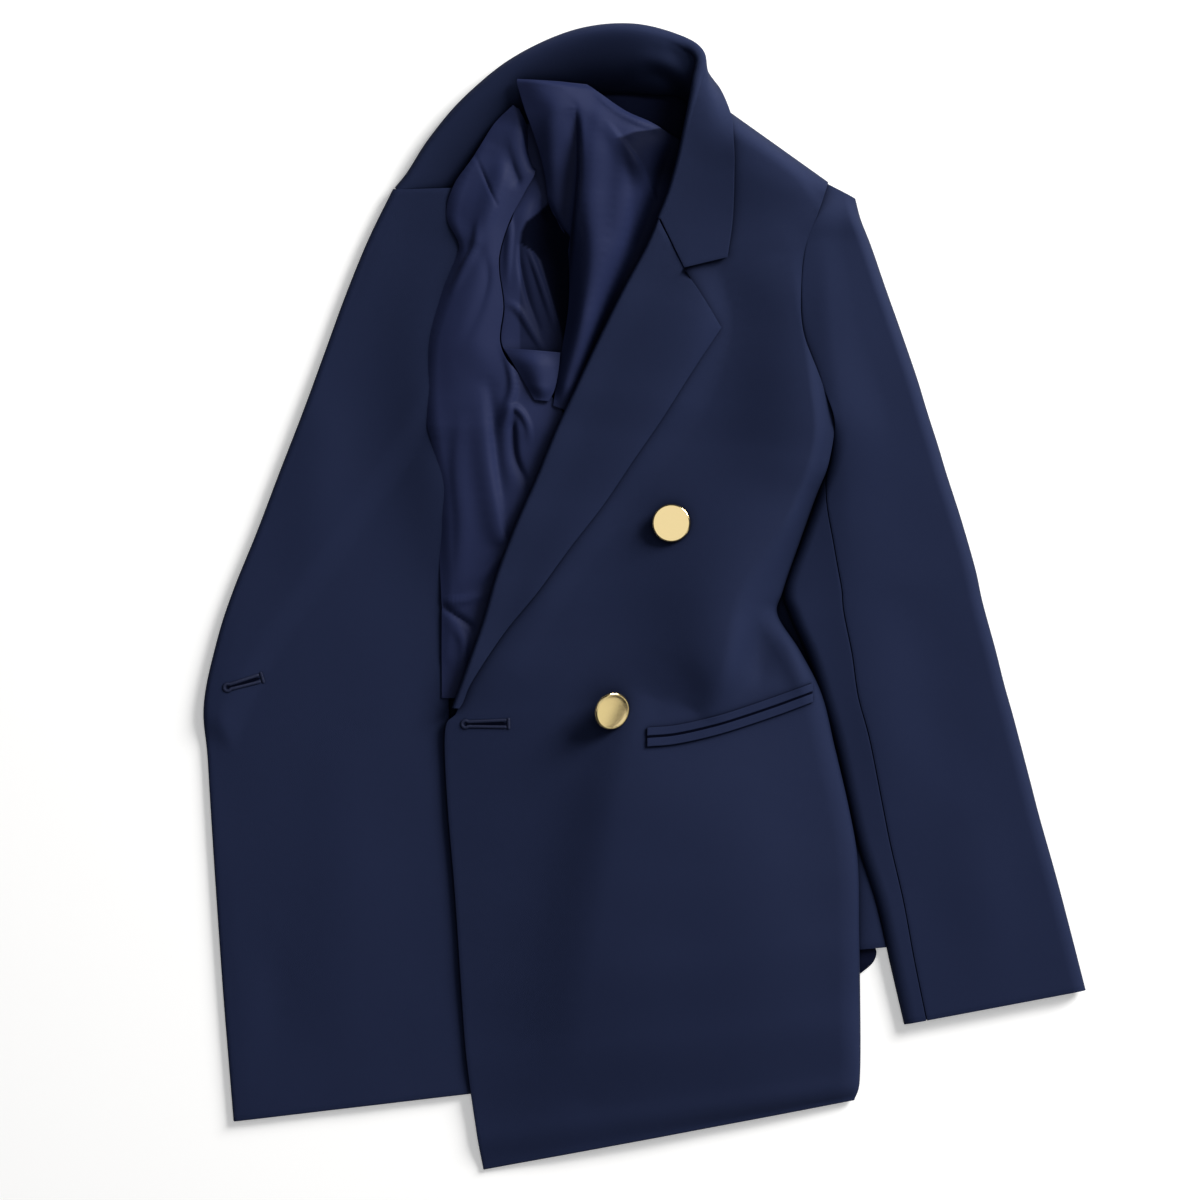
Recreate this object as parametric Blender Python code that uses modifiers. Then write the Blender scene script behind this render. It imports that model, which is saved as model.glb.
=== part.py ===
"""Double-breasted blazer, laid flat on its back with its right front opened out.

The frame is in metres, +Z up. The floor is z = 0, the hem points to -Y and the wearer's left
sleeve lies at +X. Tables are in millimetres, measured from the middle of the laid-out garment.
"""
import math

import bmesh
import bpy

# Driving dimensions, in millimetres
CLOTH = 1.8            # outer cloth with its interlining
LINING = 1.2           # lining with the seam allowances behind it
SEAM = 0.3             # gap between pieces at a seam
REST = 0.6             # gap between curved layers that lie on each other
ROLL = 15.0            # how far in from a free edge the cloth starts to turn down
LAPEL_TURN = 3.0       # radius of the fold along the lapel's roll line
UNDER_H = 2.4          # lapel and fall lying under the right front
SLEEVE_WALL = 2.1      # left sleeve, outer cloth and lining together
UNDER_SLEEVE_WALL = 1.4    # right sleeve, pressed flat under the body
BUTTON_R = 13.3
BUTTON_H = 3.2
MM = 0.001

COLLECTION = "double_breasted_blazer"
NAVY = (0.012, 0.019, 0.052, 1.0)
NAVY_LINING = (0.020, 0.024, 0.075, 1.0)
GOLD = (0.80, 0.62, 0.28, 1.0)


# ---------------------------------------------------------------- curves through table rows

def read_rows(rows, u, corners=()):
    """Point at station u on the smooth curve through the rows; it may turn sharply at corners."""
    last = len(rows) - 1
    u = min(max(u, 0.0), last)
    i = min(int(u), last - 1)
    f = u - i
    a, b = rows[i], rows[i + 1]
    before = rows[i - 1] if i > 0 and i not in corners else None
    after = rows[i + 2] if i + 2 <= last and i + 1 not in corners else None
    point = []
    for k in range(len(a)):
        step = b[k] - a[k]
        m0 = (b[k] - before[k]) / 2 if before else step
        m1 = (after[k] - a[k]) / 2 if after else step
        point.append(a[k] + f * m0 + f * f * (3 * step - 2 * m0 - m1) + f ** 3 * (m0 + m1 - 2 * step))
    return point


def read_heights(rows, station, across):
    """Height from a table whose rows are (station, heights at even steps across)."""
    stations = [row[0] for row in rows]
    station = min(max(station, stations[0]), stations[-1])
    i = max(k for k in range(len(rows) - 1) if stations[k] <= station)
    f = (station - stations[i]) / (stations[i + 1] - stations[i])
    f = f * f * (3 - 2 * f)
    low, high = rows[i][1:], rows[i + 1][1:]
    knots = [(lo + (hi - lo) * f,) for lo, hi in zip(low, high)]
    return read_rows(knots, across * (len(knots) - 1))[0]


def quarter(u):
    """Quarter round from 0 to 1, steep at 0 and level at 1."""
    u = min(max(u, 0.0), 1.0)
    return math.sqrt(1.0 - (1.0 - u) ** 2)


def ease(u):
    """Soft step from 0 to 1."""
    u = min(max(u, 0.0), 1.0)
    return u * u * (3.0 - 2.0 * u)


def ramp(rows, u):
    """Value at u from rows of (u, value), eased from each row to the next."""
    value = rows[0][1]
    for (u0, low), (u1, high) in zip(rows, rows[1:]):
        value += (high - low) * ease((u - u0) / (u1 - u0))
    return value


def steps(values, extra=0):
    """Stations between the given ones, with `extra` even points added in each space."""
    out = []
    for a, b in zip(values, values[1:]):
        out += [a + (b - a) * k / (extra + 1) for k in range(extra + 1)]
    return out + [values[-1]]


# ---------------------------------------------------------------- panels

NUDGE = 0.01      # step in station or share across for slopes
SEARCH = 4        # first guesses across a row when a point is located
ROUNDS = 12       # refinements of that guess
STEEPEST = 0.5    # least upright part of a normal that is used for a thickness


class Panel:
    """A cloth panel between a left and a right edge, with the height of its underside.

    edges: rows of (left x, left y, right x, right y), one for each station.
    heights: rows of (station, heights at even steps from the left edge to the right one).
    rim: function (station, across, width) -> (edge height, share 0..1 that is turned down).
    """

    def __init__(self, edges, heights, corners=(), rim=None):
        self.edges = edges
        self.heights = heights
        self.corners = corners
        self.rim = rim

    def plan(self, s, t):
        """Point in plan at station s, share t across."""
        lx, ly, rx, ry = read_rows(self.edges, s, self.corners)
        return lx + (rx - lx) * t, ly + (ry - ly) * t

    def width(self, s):
        """Distance between the edges at station s."""
        lx, ly, rx, ry = read_rows(self.edges, s, self.corners)
        return math.hypot(rx - lx, ry - ly)

    def height(self, s, t):
        """Height of the underside."""
        z = read_heights(self.heights, s, t)
        if self.rim:
            edge, share = self.rim(s, t, self.width(s))
            z = edge + (z - edge) * share
        return z

    def place(self, s, t, lift=0.0):
        """Point on the underside, moved out along the cloth's normal by lift."""
        x, y = self.plan(s, t)
        z = self.height(s, t)
        if lift == 0.0:
            return x, y, z
        nx, ny, nz = self.normal(s, t)
        return x + nx * lift, y + ny * lift, z + nz * lift

    def normal(self, s, t):
        """Unit normal of the underside, on its upper side."""
        s0, s1 = max(s - NUDGE, 0.0), min(s + NUDGE, len(self.edges) - 1)
        t0, t1 = max(t - NUDGE, 0.0), min(t + NUDGE, 1.0)
        ax, ay = self.plan(s, t1)
        bx, by = self.plan(s, t0)
        cx, cy = self.plan(s1, t)
        dx, dy = self.plan(s0, t)
        u = (ax - bx, ay - by, self.height(s, t1) - self.height(s, t0))
        v = (cx - dx, cy - dy, self.height(s1, t) - self.height(s0, t))
        n = (u[1] * v[2] - u[2] * v[1], u[2] * v[0] - u[0] * v[2], u[0] * v[1] - u[1] * v[0])
        size = math.sqrt(sum(c * c for c in n)) or 1.0
        return tuple(c / size for c in n)

    def locate(self, x, y):
        """Station and share across of the point (x, y) in plan."""
        last = len(self.edges) - 1
        guesses = [(float(i), k / SEARCH) for i in range(last + 1) for k in range(SEARCH + 1)]
        s, t = min(guesses, key=lambda guess: math.dist(self.plan(*guess), (x, y)))
        for _ in range(ROUNDS):
            px, py = self.plan(s, t)
            step = NUDGE if s < last - NUDGE else -NUDGE
            sx, sy = self.plan(s + step, t)
            ax, ay = (sx - px) / step, (sy - py) / step
            tx, ty = self.plan(s, t + NUDGE)
            bx, by = (tx - px) / NUDGE, (ty - py) / NUDGE
            det = ax * by - ay * bx
            ex, ey = x - px, y - py
            s = min(max(s + (ex * by - ey * bx) / det, 0.0), last)
            t += (ax * ey - ay * ex) / det
        return s, t

    def under(self, x, y):
        """Height of the underside over (x, y)."""
        s, t = self.locate(x, y)
        return self.height(s, min(max(t, 0.0), 1.0))

    def top(self, x, y):
        """Height of the upper face of the cloth over (x, y)."""
        s, t = self.locate(x, y)
        t = min(max(t, 0.0), 1.0)
        return self.height(s, t) + CLOTH / max(self.normal(s, t)[2], STEEPEST)


# ---------------------------------------------------------------- mesh and material helpers

def material(name, colour, roughness, metallic=0.0):
    """Plain material of one finish."""
    mat = bpy.data.materials.new(name)
    mat.use_nodes = True
    shader = mat.node_tree.nodes["Principled BSDF"]
    shader.inputs["Base Color"].default_value = colour
    shader.inputs["Roughness"].default_value = roughness
    shader.inputs["Metallic"].default_value = metallic
    return mat


def add_object(name, bm, mat):
    """Named object made from bm, in the garment's collection."""
    mesh = bpy.data.meshes.new(name)
    bm.to_mesh(mesh)
    bm.free()
    mesh.materials.append(mat)
    mesh.shade_smooth()
    obj = bpy.data.objects.new(name, mesh)
    bpy.data.collections[COLLECTION].objects.link(obj)
    return obj


def grid(place, stations, across, around=False):
    """Grid of points place(station, across) in millimetres; around joins its two long edges."""
    bm = bmesh.new()
    bmesh.ops.create_grid(bm, x_segments=len(across) - 1, y_segments=len(stations) - 1, size=1.0)
    for v in bm.verts:
        col = round((v.co.x + 1) / 2 * (len(across) - 1))
        row = round((v.co.y + 1) / 2 * (len(stations) - 1))
        v.co = [c * MM for c in place(stations[row], across[col])]
    if around:
        bmesh.ops.remove_doubles(bm, verts=bm.verts, dist=0.00001)
    return bm


def cloth(name, place, stations, across, mat, wall, side=1.0, around=False):
    """Open cloth surface with a wall grown from it, along its normals where side is 1."""
    obj = add_object(name, grid(place, stations, across, around), mat)
    shell = obj.modifiers.new("wall", "SOLIDIFY")
    shell.thickness = wall * MM
    shell.offset = side
    shell.use_rim = True
    return obj


# ---------------------------------------------------------------- left front

# hem to shoulder: (left x, left y) down the front edge and lapel roll, (right x, right y) down the
# side and armhole
FRONT_EDGES = [
    (-113, -399.85, 146, -351), (-118, -372, 149, -335), (-125, -320, 149, -288),
    (-129, -265, 148, -235), (-133, -205, 147, -185), (-138, -145, 141, -148),
    (-140, -98, 131, -105), (-136, -80, 122, -68), (-127, -55, 107, -38),
    (-114, -18, 91, -12), (-104, 16, 95, 6), (-91, 50, 106, 38), (-76, 84, 118, 72),
    (-62, 118, 127, 95), (-47, 150, 131, 122), (-31, 184, 123, 147), (-15, 216, 110, 183),
    (2, 248, 108, 215), (15, 281, 112, 246), (25, 318, 120, 268), (33, 356, 127, 289),
]
# station: front edge, chest, waist side, side
FRONT_HEIGHTS = [
    (0, 0.6, 2.4, 3.2, 2.6), (1, 3.7, 5.8, 7.5, 6.5), (2, 5.6, 9.5, 12.0, 10.5),
    (3, 6.0, 12.0, 14.5, 13.5), (4, 6.0, 13.0, 15.5, 14.5), (5.5, 6.5, 13.5, 16.0, 14.5),
    (7, 7.5, 14.5, 16.5, 14.0), (8.5, 9.5, 15.5, 17.0, 13.0), (10, 11.0, 16.5, 17.5, 11.5),
    (11.5, 13.0, 17.5, 18.5, 13.0), (13, 15.0, 19.0, 19.5, 15.5), (14, 16.5, 20.0, 20.5, 16.5),
    (16, 19.0, 21.5, 21.0, 17.5), (18, 21.5, 23.5, 22.5, 18.0), (19, 23.0, 24.5, 22.5, 18.0),
    (20, 24.0, 23.5, 21.0, 17.5),
]
# station: height of the turned-down side edge, share of the turn (0 along the armhole seam)
FRONT_SIDE = [
    (2.2, 1), (2.6, 1), (3.5, 1), (9.4, 1), (10.0, 1), (10.0, 1), (8.8, 1), (7.4, 1), (6.6, 1),
    (6.0, 1), (6.0, 1), (6.5, 1), (9.0, 1), (13.0, 0.5), (16.0, 0), (17.0, 0), (17.5, 0),
    (18.0, 0), (18.0, 0), (18.0, 0), (17.5, 0),
]
SHOULDER_EDGE = 5.8     # height of the front's cloth at the shoulder fold
# station: how far the front's cloth stops short of the outside of the lapel's and collar's fold
FOLD_INSET = [(6.6, 0.0), (7.0, 4.5), (17.0, 4.5), (17.4, 5.7), (18.2, 5.7), (19.0, 10.7)]
SHOULDER_STATION = 20.0
SHOULDER_ROW = 34.0     # distance between the last two rows


def front_rim(s, t, width):
    """Edge height and share of the full height near the front's turned-down edges."""
    edge, turned = read_rows(FRONT_SIDE, s)
    side = 1.0 - turned * (1.0 - quarter((1.0 - t) * width / ROLL))
    shoulder = quarter((SHOULDER_STATION - s) * SHOULDER_ROW / ROLL)
    if shoulder < 1.0:
        return SHOULDER_EDGE, shoulder
    return edge, side


FRONT = Panel(FRONT_EDGES, FRONT_HEIGHTS, corners=(), rim=front_rim)
FRONT_ACROSS = [0, .05, .13, .23, .34, .45, .56, .67, .77, .85, .91, .955, .985, 1]
FRONT_STATIONS = [0, .35, 1, 2, 3, 4, 5, 6, 6.6, 7.05, 8, 9, 10, 11, 12, 13, 14, 15, 16, 17, 18, 19,
                  19.55, 19.8, 19.95, 20]


def front_place(s, t):
    """Point of the left front, which stops short of the lapel's fold along the roll line."""
    start = ramp(FOLD_INSET, s) / FRONT.width(s)
    return FRONT.place(s, start + (1.0 - start) * t)


def left_front(mat):
    """Left front, outer side up."""
    cloth("left_front", front_place, FRONT_STATIONS, FRONT_ACROSS, mat, CLOTH)


# ---------------------------------------------------------------- left lapel

# break point to gorge: station on the front's roll line, outer edge x, y
LAPEL_ROWS = [
    (7.0, -132, -80), (7.35, -127, -73), (8, -120.5, -58), (9, -98, -24), (10, -75, 4),
    (11, -53, 34), (12, -29, 65), (13, -8, 96), (14, 12, 125), (15, 33, 158), (16, 53, 188),
    (16.9, 40, 209), (17.5, 27, 228),
]
LAPEL_CORNERS = (10,)
LAPEL_REST = 0.9        # gap between the lapel and the front under it
LAPEL_FALL = 26.0       # the lapel comes down from its fold onto the front over this width
LAPEL_NARROWEST = 0.6
LAPEL_TURN_STEPS = 4


def lapel_roll(s):
    """Centre of the fold at station s, and the direction and distance to the outer edge."""
    station, bx, by = read_rows(LAPEL_ROWS, s, LAPEL_CORNERS)
    ax, ay = FRONT.plan(station, 0.0)
    width = math.hypot(bx - ax, by - ay)
    ux, uy = (bx - ax) / width, (by - ay) / width
    turn = LAPEL_TURN
    return ax + ux * turn, ay + uy * turn, ux, uy, max(width - turn, LAPEL_NARROWEST)


def lapel_place(s, t):
    """t from -1 to 0 goes round the fold from below, then on to the outer edge at t = 1."""
    turn = LAPEL_TURN
    cx, cy, ux, uy, width = lapel_roll(s)
    under = FRONT.under(cx, cy)
    if t <= 0.0:
        angle = math.pi * (t + 1.0)
        z = under + turn * (1.0 - math.cos(angle))
        return cx - ux * turn * math.sin(angle), cy - uy * turn * math.sin(angle), z
    x, y = cx + ux * width * t, cy + uy * width * t
    rest = FRONT.top(x, y) + LAPEL_REST + CLOTH
    lifted = under + 2.0 * turn
    return x, y, max(rest, lifted + (rest - lifted) * ease(width * t / LAPEL_FALL))


def left_lapel(mat):
    """Left lapel, folded over onto the front."""
    turn = [-1.0 + k / LAPEL_TURN_STEPS for k in range(LAPEL_TURN_STEPS)]
    across = turn + [0, .12, .3, .5, .7, .86, 1]
    stations = steps(list(range(2, len(LAPEL_ROWS) - 1)), 1)
    stations = [.5, 1, 1.5] + stations + [11.5, 11.9]
    cloth("left_lapel", lapel_place, stations, across, mat, CLOTH, side=-1.0)


# ---------------------------------------------------------------- right sleeve, under the body

# head to cuff: left x, y, right x, y, height over the outside
RIGHT_SLEEVE_EDGES = [
    (-100, 272, -56, 292, 4.0), (-107, 228, -40, 252, 4.0), (-108, 182, -24, 216, 4.0),
    (-104, 140, 6, 180, 5.0), (-92, 98, 24, 138, 7.2), (-70, 40, 42, 73, 7.2),
    (-46, -20, 60, 12, 7.2), (-20, -80, 88, -54, 7.2), (3, -135, 125, -110, 7.2),
    (22, -180, 145, -163, 7.2), (36, -215, 159.2, -203, 7.2), (45, -254, 169.2, -244, 7.2),
]
RIGHT_SLEEVE_AROUND = 18
RIGHT_SLEEVE_FLATNESS = 0.45    # power of the ring's swell; smaller is flatter
RIGHT_SLEEVE_SOLE = 1.25        # how much sooner its lower side comes down to the floor


def right_sleeve_place(s, around):
    """Flattened ring: around runs from 0 to 1, along the top and back along the floor."""
    ax, ay, bx, by, high = read_rows(RIGHT_SLEEVE_EDGES, s)
    angle = 2.0 * math.pi * around
    across = 0.5 - 0.5 * math.cos(angle)
    swell = abs(math.sin(angle)) ** RIGHT_SLEEVE_FLATNESS
    half = high / 2
    z = half + half * swell if around <= 0.5 else half - half * min(1.0, swell * RIGHT_SLEEVE_SOLE)
    return ax + (bx - ax) * across, ay + (by - ay) * across, z


def right_sleeve(mat):
    """Right sleeve, a flattened tube with its head and cuff open."""
    stations = list(range(len(RIGHT_SLEEVE_EDGES)))
    around = [k / RIGHT_SLEEVE_AROUND for k in range(RIGHT_SLEEVE_AROUND + 1)]
    cloth("right_sleeve", right_sleeve_place, stations, around, mat, UNDER_SLEEVE_WALL,
          around=True)


def sleeve_hump(x, y, margin, slope, ends=1.0):
    """Height of cloth over the right sleeve and for margin round it, then down over slope.

    Past the sleeve's ends it comes down as much slower as ends is less than 1.
    """
    lifted = 0.0
    for a, b in zip(RIGHT_SLEEVE_EDGES, RIGHT_SLEEVE_EDGES[1:]):
        ax, ay = (a[0] + a[2]) / 2, (a[1] + a[3]) / 2
        bx, by = (b[0] + b[2]) / 2 - ax, (b[1] + b[3]) / 2 - ay
        length = math.hypot(bx, by)
        along = ((x - ax) * bx + (y - ay) * by) / length ** 2
        beyond = max(0.0, -along, along - 1.0) * length
        aside = abs((x - ax) * by - (y - ay) * bx) / length
        along = min(max(along, 0.0), 1.0)
        half = math.hypot(a[2] - a[0], a[3] - a[1]) * (1 - along) / 2
        half += math.hypot(b[2] - b[0], b[3] - b[1]) * along / 2
        high = a[4] + (b[4] - a[4]) * along
        outside = max(aside - half, beyond * ends)
        lifted = max(lifted, (high + REST) * (1.0 - ease((outside - margin) / slope)))
    return lifted


# ---------------------------------------------------------------- right lapel, folded under

# along the roll line from the break, how far the roll bows, how far the outer edge lies across
LAPEL_SHAPE = [
    (0, 0, 4), (50, -4, 10), (100, -6, 22), (150, -6, 34), (199, -6, 46), (260, -5, 59),
    (323, -3, 70), (337, -2, 50), (350, -1, 31), (373, -1, 9),
]
LAPEL_SHAPE_CORNERS = (6,)
RIGHT_BREAK = (-307, -70)
RIGHT_ROLL = (0.355, 0.935)    # direction of the right roll line
LAPEL_GAP = 1.0                # how far the lapel under the front starts from the roll line
OVER_MARGIN, OVER_SLOPE = 8.0, 22.0    # cloth over it lies level past it, then comes down


def right_roll(along, across):
    """Point in plan at a distance along the right roll line and across from it."""
    return (RIGHT_BREAK[0] + RIGHT_ROLL[0] * along + RIGHT_ROLL[1] * across,
            RIGHT_BREAK[1] + RIGHT_ROLL[1] * along - RIGHT_ROLL[0] * across)


def right_lapel_place(s, t):
    """Point on the underside of the right lapel, roll line to outer edge."""
    along, roll, outer = read_rows(LAPEL_SHAPE, s, LAPEL_SHAPE_CORNERS)
    roll += LAPEL_GAP
    x, y = right_roll(along, roll + (outer - roll) * t)
    return x, y, 0.0


def right_lapel(mat):
    """Right lapel, folded under the right front."""
    stations = [0, 1, 2, 3, 4, 5, 6, 7, 8, 8.7]
    cloth("right_lapel", right_lapel_place, stations, steps([0, .5, 1], 1), mat, UNDER_H)


def over_lapel(x, y):
    """Height of cloth lying over the folded-under lapel and fall, and beside them."""
    dx, dy = x - RIGHT_BREAK[0], y - RIGHT_BREAK[1]
    along = dx * RIGHT_ROLL[0] + dy * RIGHT_ROLL[1]
    across = dx * RIGHT_ROLL[1] - dy * RIGHT_ROLL[0]
    tip = LAPEL_SHAPE_CORNERS[0]
    row = next((k for k in range(tip) if LAPEL_SHAPE[k + 1][0] >= along), tip - 1)
    start, end = LAPEL_SHAPE[row][0], LAPEL_SHAPE[row + 1][0]
    station = min(row + (along - start) / (end - start), tip)
    outer = read_rows(LAPEL_SHAPE, station, LAPEL_SHAPE_CORNERS)[2]
    beside = max(across - outer, -along)
    return (UNDER_H + REST) * (1.0 - ease((beside - OVER_MARGIN) / OVER_SLOPE))


# ---------------------------------------------------------------- right front, face down

# hem to gorge: front edge and roll line, side and armhole
RIGHT_EDGES = [
    (-288, -366, -30, -336), (-291, -330, -29, -300), (-295, -281, -28, -262),
    (-299, -225, -28, -215), (-303, -165, -27, -160), (-306, -115, -28, -115),
    (-307.5, -74, -34, -85), (-298, -30, -46, -38), (-287, 4, -58, 0), (-270, 46, -76, 38),
    (-254, 88, -96, 72), (-238, 129, -106, 105), (-223, 170, -112, 140), (-208, 211, -113, 180),
    (-192, 250, -113, 220), (-178, 279, -110, 262),
]
RIGHT_STATIONS = [0, .3, 1, 2, 3, 4, 5, 6, 7, 8, 9, 10, 11, 12, 13, 14, 15]
FRONT_SETBACK = 3.8            # the front lies this far inside its facing's turned edge


def right_front_place(s, t):
    """Point on the underside of the right front, which is its outer side."""
    lx, ly, rx, ry = read_rows(RIGHT_EDGES, s)
    lx += FRONT_SETBACK
    x, y = lx + (rx - lx) * t, ly + (ry - ly) * t
    return x, y, over_lapel(x, y)


def right_front(mat):
    """Right front, outer side down."""
    across = [0, .08, .18, .28, .38, .48, .6, .8, 1]
    cloth("right_front", right_front_place, RIGHT_STATIONS, across, mat, CLOTH)


# facing: hem to gorge seam, front edge and roll line, inner edge
FACING_EDGES = [
    (-287, -366, -117, -346), (-290, -330, -119, -310), (-294, -281, -122, -268),
    (-298, -225, -126, -215), (-302, -165, -131, -160), (-305, -115, -135, -112),
    (-307.2, -74, -137, -76), (-298, -30, -137, -36), (-287, 4, -137, 0), (-270, 46, -138, 44),
    (-254, 88, -140, 86), (-238, 129, -144, 126), (-223, 170, -145, 166), (-208, 211, -138, 207),
    (-192, 250, -126, 248), (-173.4, 283.3, -128, 285.9),
]
FACING_TURN = 3.2              # the facing's edge is turned down over this width
FACING_EDGE = 0.72             # share of its height that the turned edge keeps
FACING_REST = 0.8              # gap between the facing and the front under it


def facing_place(s, t):
    """Point on the underside of the facing, front edge to lining."""
    lx, ly, rx, ry = read_rows(FACING_EDGES, s)
    x, y = lx + (rx - lx) * t, ly + (ry - ly) * t
    lie = over_lapel(x, y) + CLOTH + FACING_REST
    turned = quarter(t * math.hypot(rx - lx, ry - ly) / FACING_TURN)
    return x, y, lie * (FACING_EDGE + (1.0 - FACING_EDGE) * turned)


def right_facing(mat):
    """Right facing, face up."""
    across = [0, .012, .035, .1, .2, .32, .45, .6, .8, 1]
    cloth("right_facing", facing_place, RIGHT_STATIONS, across, mat, CLOTH)


# ---------------------------------------------------------------- collar

# left gorge, round the back neck, to the right gorge.
# neck: seam of the stand. fold: outermost point of the fold, the side it points to (0 out of the
# neck, 90 up, 180 into the neck) and its radius. middle, edge: the fall, to its free edge
COLLAR_ROWS = [
    # neck x, y, z       fold x, y, z, side, radius     middle x, y, z       edge x, y, z
    (12.6, 263.4, 20.9,  9, 265, 23.9, 180, 3.0,        28.6, 230.6, None,   57.3, 236.6, None),
    (18.8, 281.5, 21.5,  15, 282, 24.6, 180, 3.1,       37, 262, None,       60.5, 262, None),
    (26.0, 306.5, 22.4,  22, 307, 25.7, 180, 3.2,       42, 295, None,       61.5, 292, None),
    (31.0, 331, 21.8,    27.5, 333, 26.6, 172, 3.4,     46, 322, None,       61, 317, None),
    (29, 345, 19.0,      33, 358, 28.0, 135, 3.8,       49, 343, 26.5,       59.0, 338, 22.0),
    (20, 350, 13.0,      37.5, 377, 25.5, 90, 4.2,      42.5, 370, 12.0,     47, 362, 3.2),
    (4, 351, 11.0,       25, 391, 17.0, 30, 5.6,        34, 372, 1.6,        28, 352, 0.0),
    (-16, 352, 9.8,      -8, 400, 14.5, 0, 6.4,         -6, 376, 0.0,        -5, 354, 0.0),
    (-44, 351, 9.4,      -49, 396, 13.6, 0, 6.2,        -44, 373, 0.0,       -40, 352, 0.0),
    (-72, 341, 8.8,      -92, 377, 11.6, 0, 5.8,        -78, 357, 0.0,       -66, 338, 0.0),
    (-97, 323, 7.7,      -127, 349, 9.2, 0, 5.4,        -108, 335, 0.0,      -91, 320, 0.0),
    (-116, 304, 7.5,     -151, 321, 6.8, 0, 4.9,        -129, 309, 0.0,      -109, 298, 0.0),
    (-127, 293, 7.4,     -166, 298, 5.2, 0, 4.5,        -144, 284, 0.0,      -120, 276, 0.0),
    (-133, 286.6, 7.3,   -175, 286.8, 4.2, 0, 4.2,      -151, 253, 0.0,      -126, 253, 0.0),
]
FALL_REST = 1.4                # gap between the fall and the left front under it
COLLAR_STEP = 0.05             # step in station for the direction of the fold
COLLAR_SECTION = [0, .35, .68, 1, 1.25, 1.5, 1.75, 2, 2.45, 3, 3.5, 4]
STAND_SWELL = [(3.0, 0.0), (5.0, 1.0)]    # station: how much steeper the stand is at its seam
FREE_END = 0.6                 # the fall turns sharply at its middle up to this station


def collar_rows():
    """The table, with the fall lying on the left front wherever its height is left open."""
    rows = []
    for row in COLLAR_ROWS:
        row = list(row)
        for k in (8, 11):
            if row[k + 2] is None:
                row[k + 2] = FRONT.top(row[k], row[k + 1]) + FALL_REST + CLOTH
        rows.append(tuple(row))
    return rows


COLLAR = collar_rows()


def collar_place(s, part):
    """part: 0 neck seam, 1 to 2 round the fold, 3 middle of the fall, 4 its free edge."""
    row = read_rows(COLLAR, s)
    before, after = read_rows(COLLAR, s - COLLAR_STEP), read_rows(COLLAR, s + COLLAR_STEP)
    tx, ty = after[3] - before[3], after[4] - before[4]
    size = math.hypot(tx, ty)
    out = (ty / size, -tx / size)
    side = math.radians(row[6])
    radius = row[7]
    apex = (out[0] * math.cos(side), out[1] * math.cos(side), math.sin(side))
    stand = (-out[0] * math.sin(side), -out[1] * math.sin(side), math.cos(side))
    centre = [row[3 + k] - apex[k] * radius for k in range(3)]
    if part < 1.0:
        top = [centre[k] + stand[k] * radius for k in range(3)]
        x, y, z = [row[k] + (top[k] - row[k]) * part for k in range(3)]
        z += (top[2] - row[2]) * ramp(STAND_SWELL, s) * part * (1.0 - part)
    elif part <= 2.0:
        angle = math.pi * (part - 1.0)
        x, y, z = [centre[k] + radius * (stand[k] * math.cos(angle) + apex[k] * math.sin(angle))
                   for k in range(3)]
    else:
        low = tuple(centre[k] - stand[k] * radius for k in range(3))
        corners = (1,) if s < FREE_END else ()
        x, y, z = read_rows([low, tuple(row[8:11]), tuple(row[11:14])], part - 2.0, corners)
    return x, y, max(z, 0.0)


def collar(mat):
    """Collar stand and fall in one band, folded along its roll."""
    stations = steps(list(range(len(COLLAR_ROWS))), 1)
    cloth("collar", collar_place, stations, COLLAR_SECTION, mat, CLOTH, side=-1.0)


# ---------------------------------------------------------------- back

# hem to shoulder and neck: left x, y, right x, y, how far the row bows up in its middle
BACK_EDGES = [
    (-26, -338, 138, -340, -4), (-25, -300, 140, -300, 0), (-24, -250, 141, -240, 0),
    (-23, -190, 139, -185, 0), (-24, -135, 132, -140, 0), (-28, -85, 122, -95, 0),
    (-40, -36, 115.6, -45, 0), (-52, 6, 99.8, -4, 0), (-62, 50, 102, 40, 0), (-60, 90, 112, 84, 0),
    (-40, 132, 117, 118, 0), (-22, 170, 106, 150, 0), (-18, 208, 100, 185, 0),
    (-24, 248, 100, 220, 2), (-36, 284, 106, 250, 6), (-50, 316, 115, 272, 18),
    (-58, 338, 122, 286, 32),
]
BACK_RISE = 3.6         # height of the back's cloth at the shoulder fold and neck seam
BACK_RISE_FROM = 14.4   # station where it starts to rise
BACK_OVER_SLEEVE = {"margin": 8.0, "slope": 12.0, "ends": 0.5}


def back_place(s, t):
    """Point on the underside of the back."""
    lx, ly, rx, ry, bow = read_rows(BACK_EDGES, s)
    x, y = lx + (rx - lx) * t, ly + (ry - ly) * t + bow * 4 * t * (1 - t)
    rise = BACK_RISE * ease((s - BACK_RISE_FROM) / (len(BACK_EDGES) - 1 - BACK_RISE_FROM))
    return x, y, max(rise, sleeve_hump(x, y, **BACK_OVER_SLEEVE))


def back(mat):
    """Back, which lies on the floor and over the right sleeve."""
    stations = sorted(list(range(len(BACK_EDGES))) + [1.7, 2.3])
    across = [k / 14 for k in range(15)]
    cloth("back", back_place, stations, across, mat, CLOTH)


# ---------------------------------------------------------------- hidden layers

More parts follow.
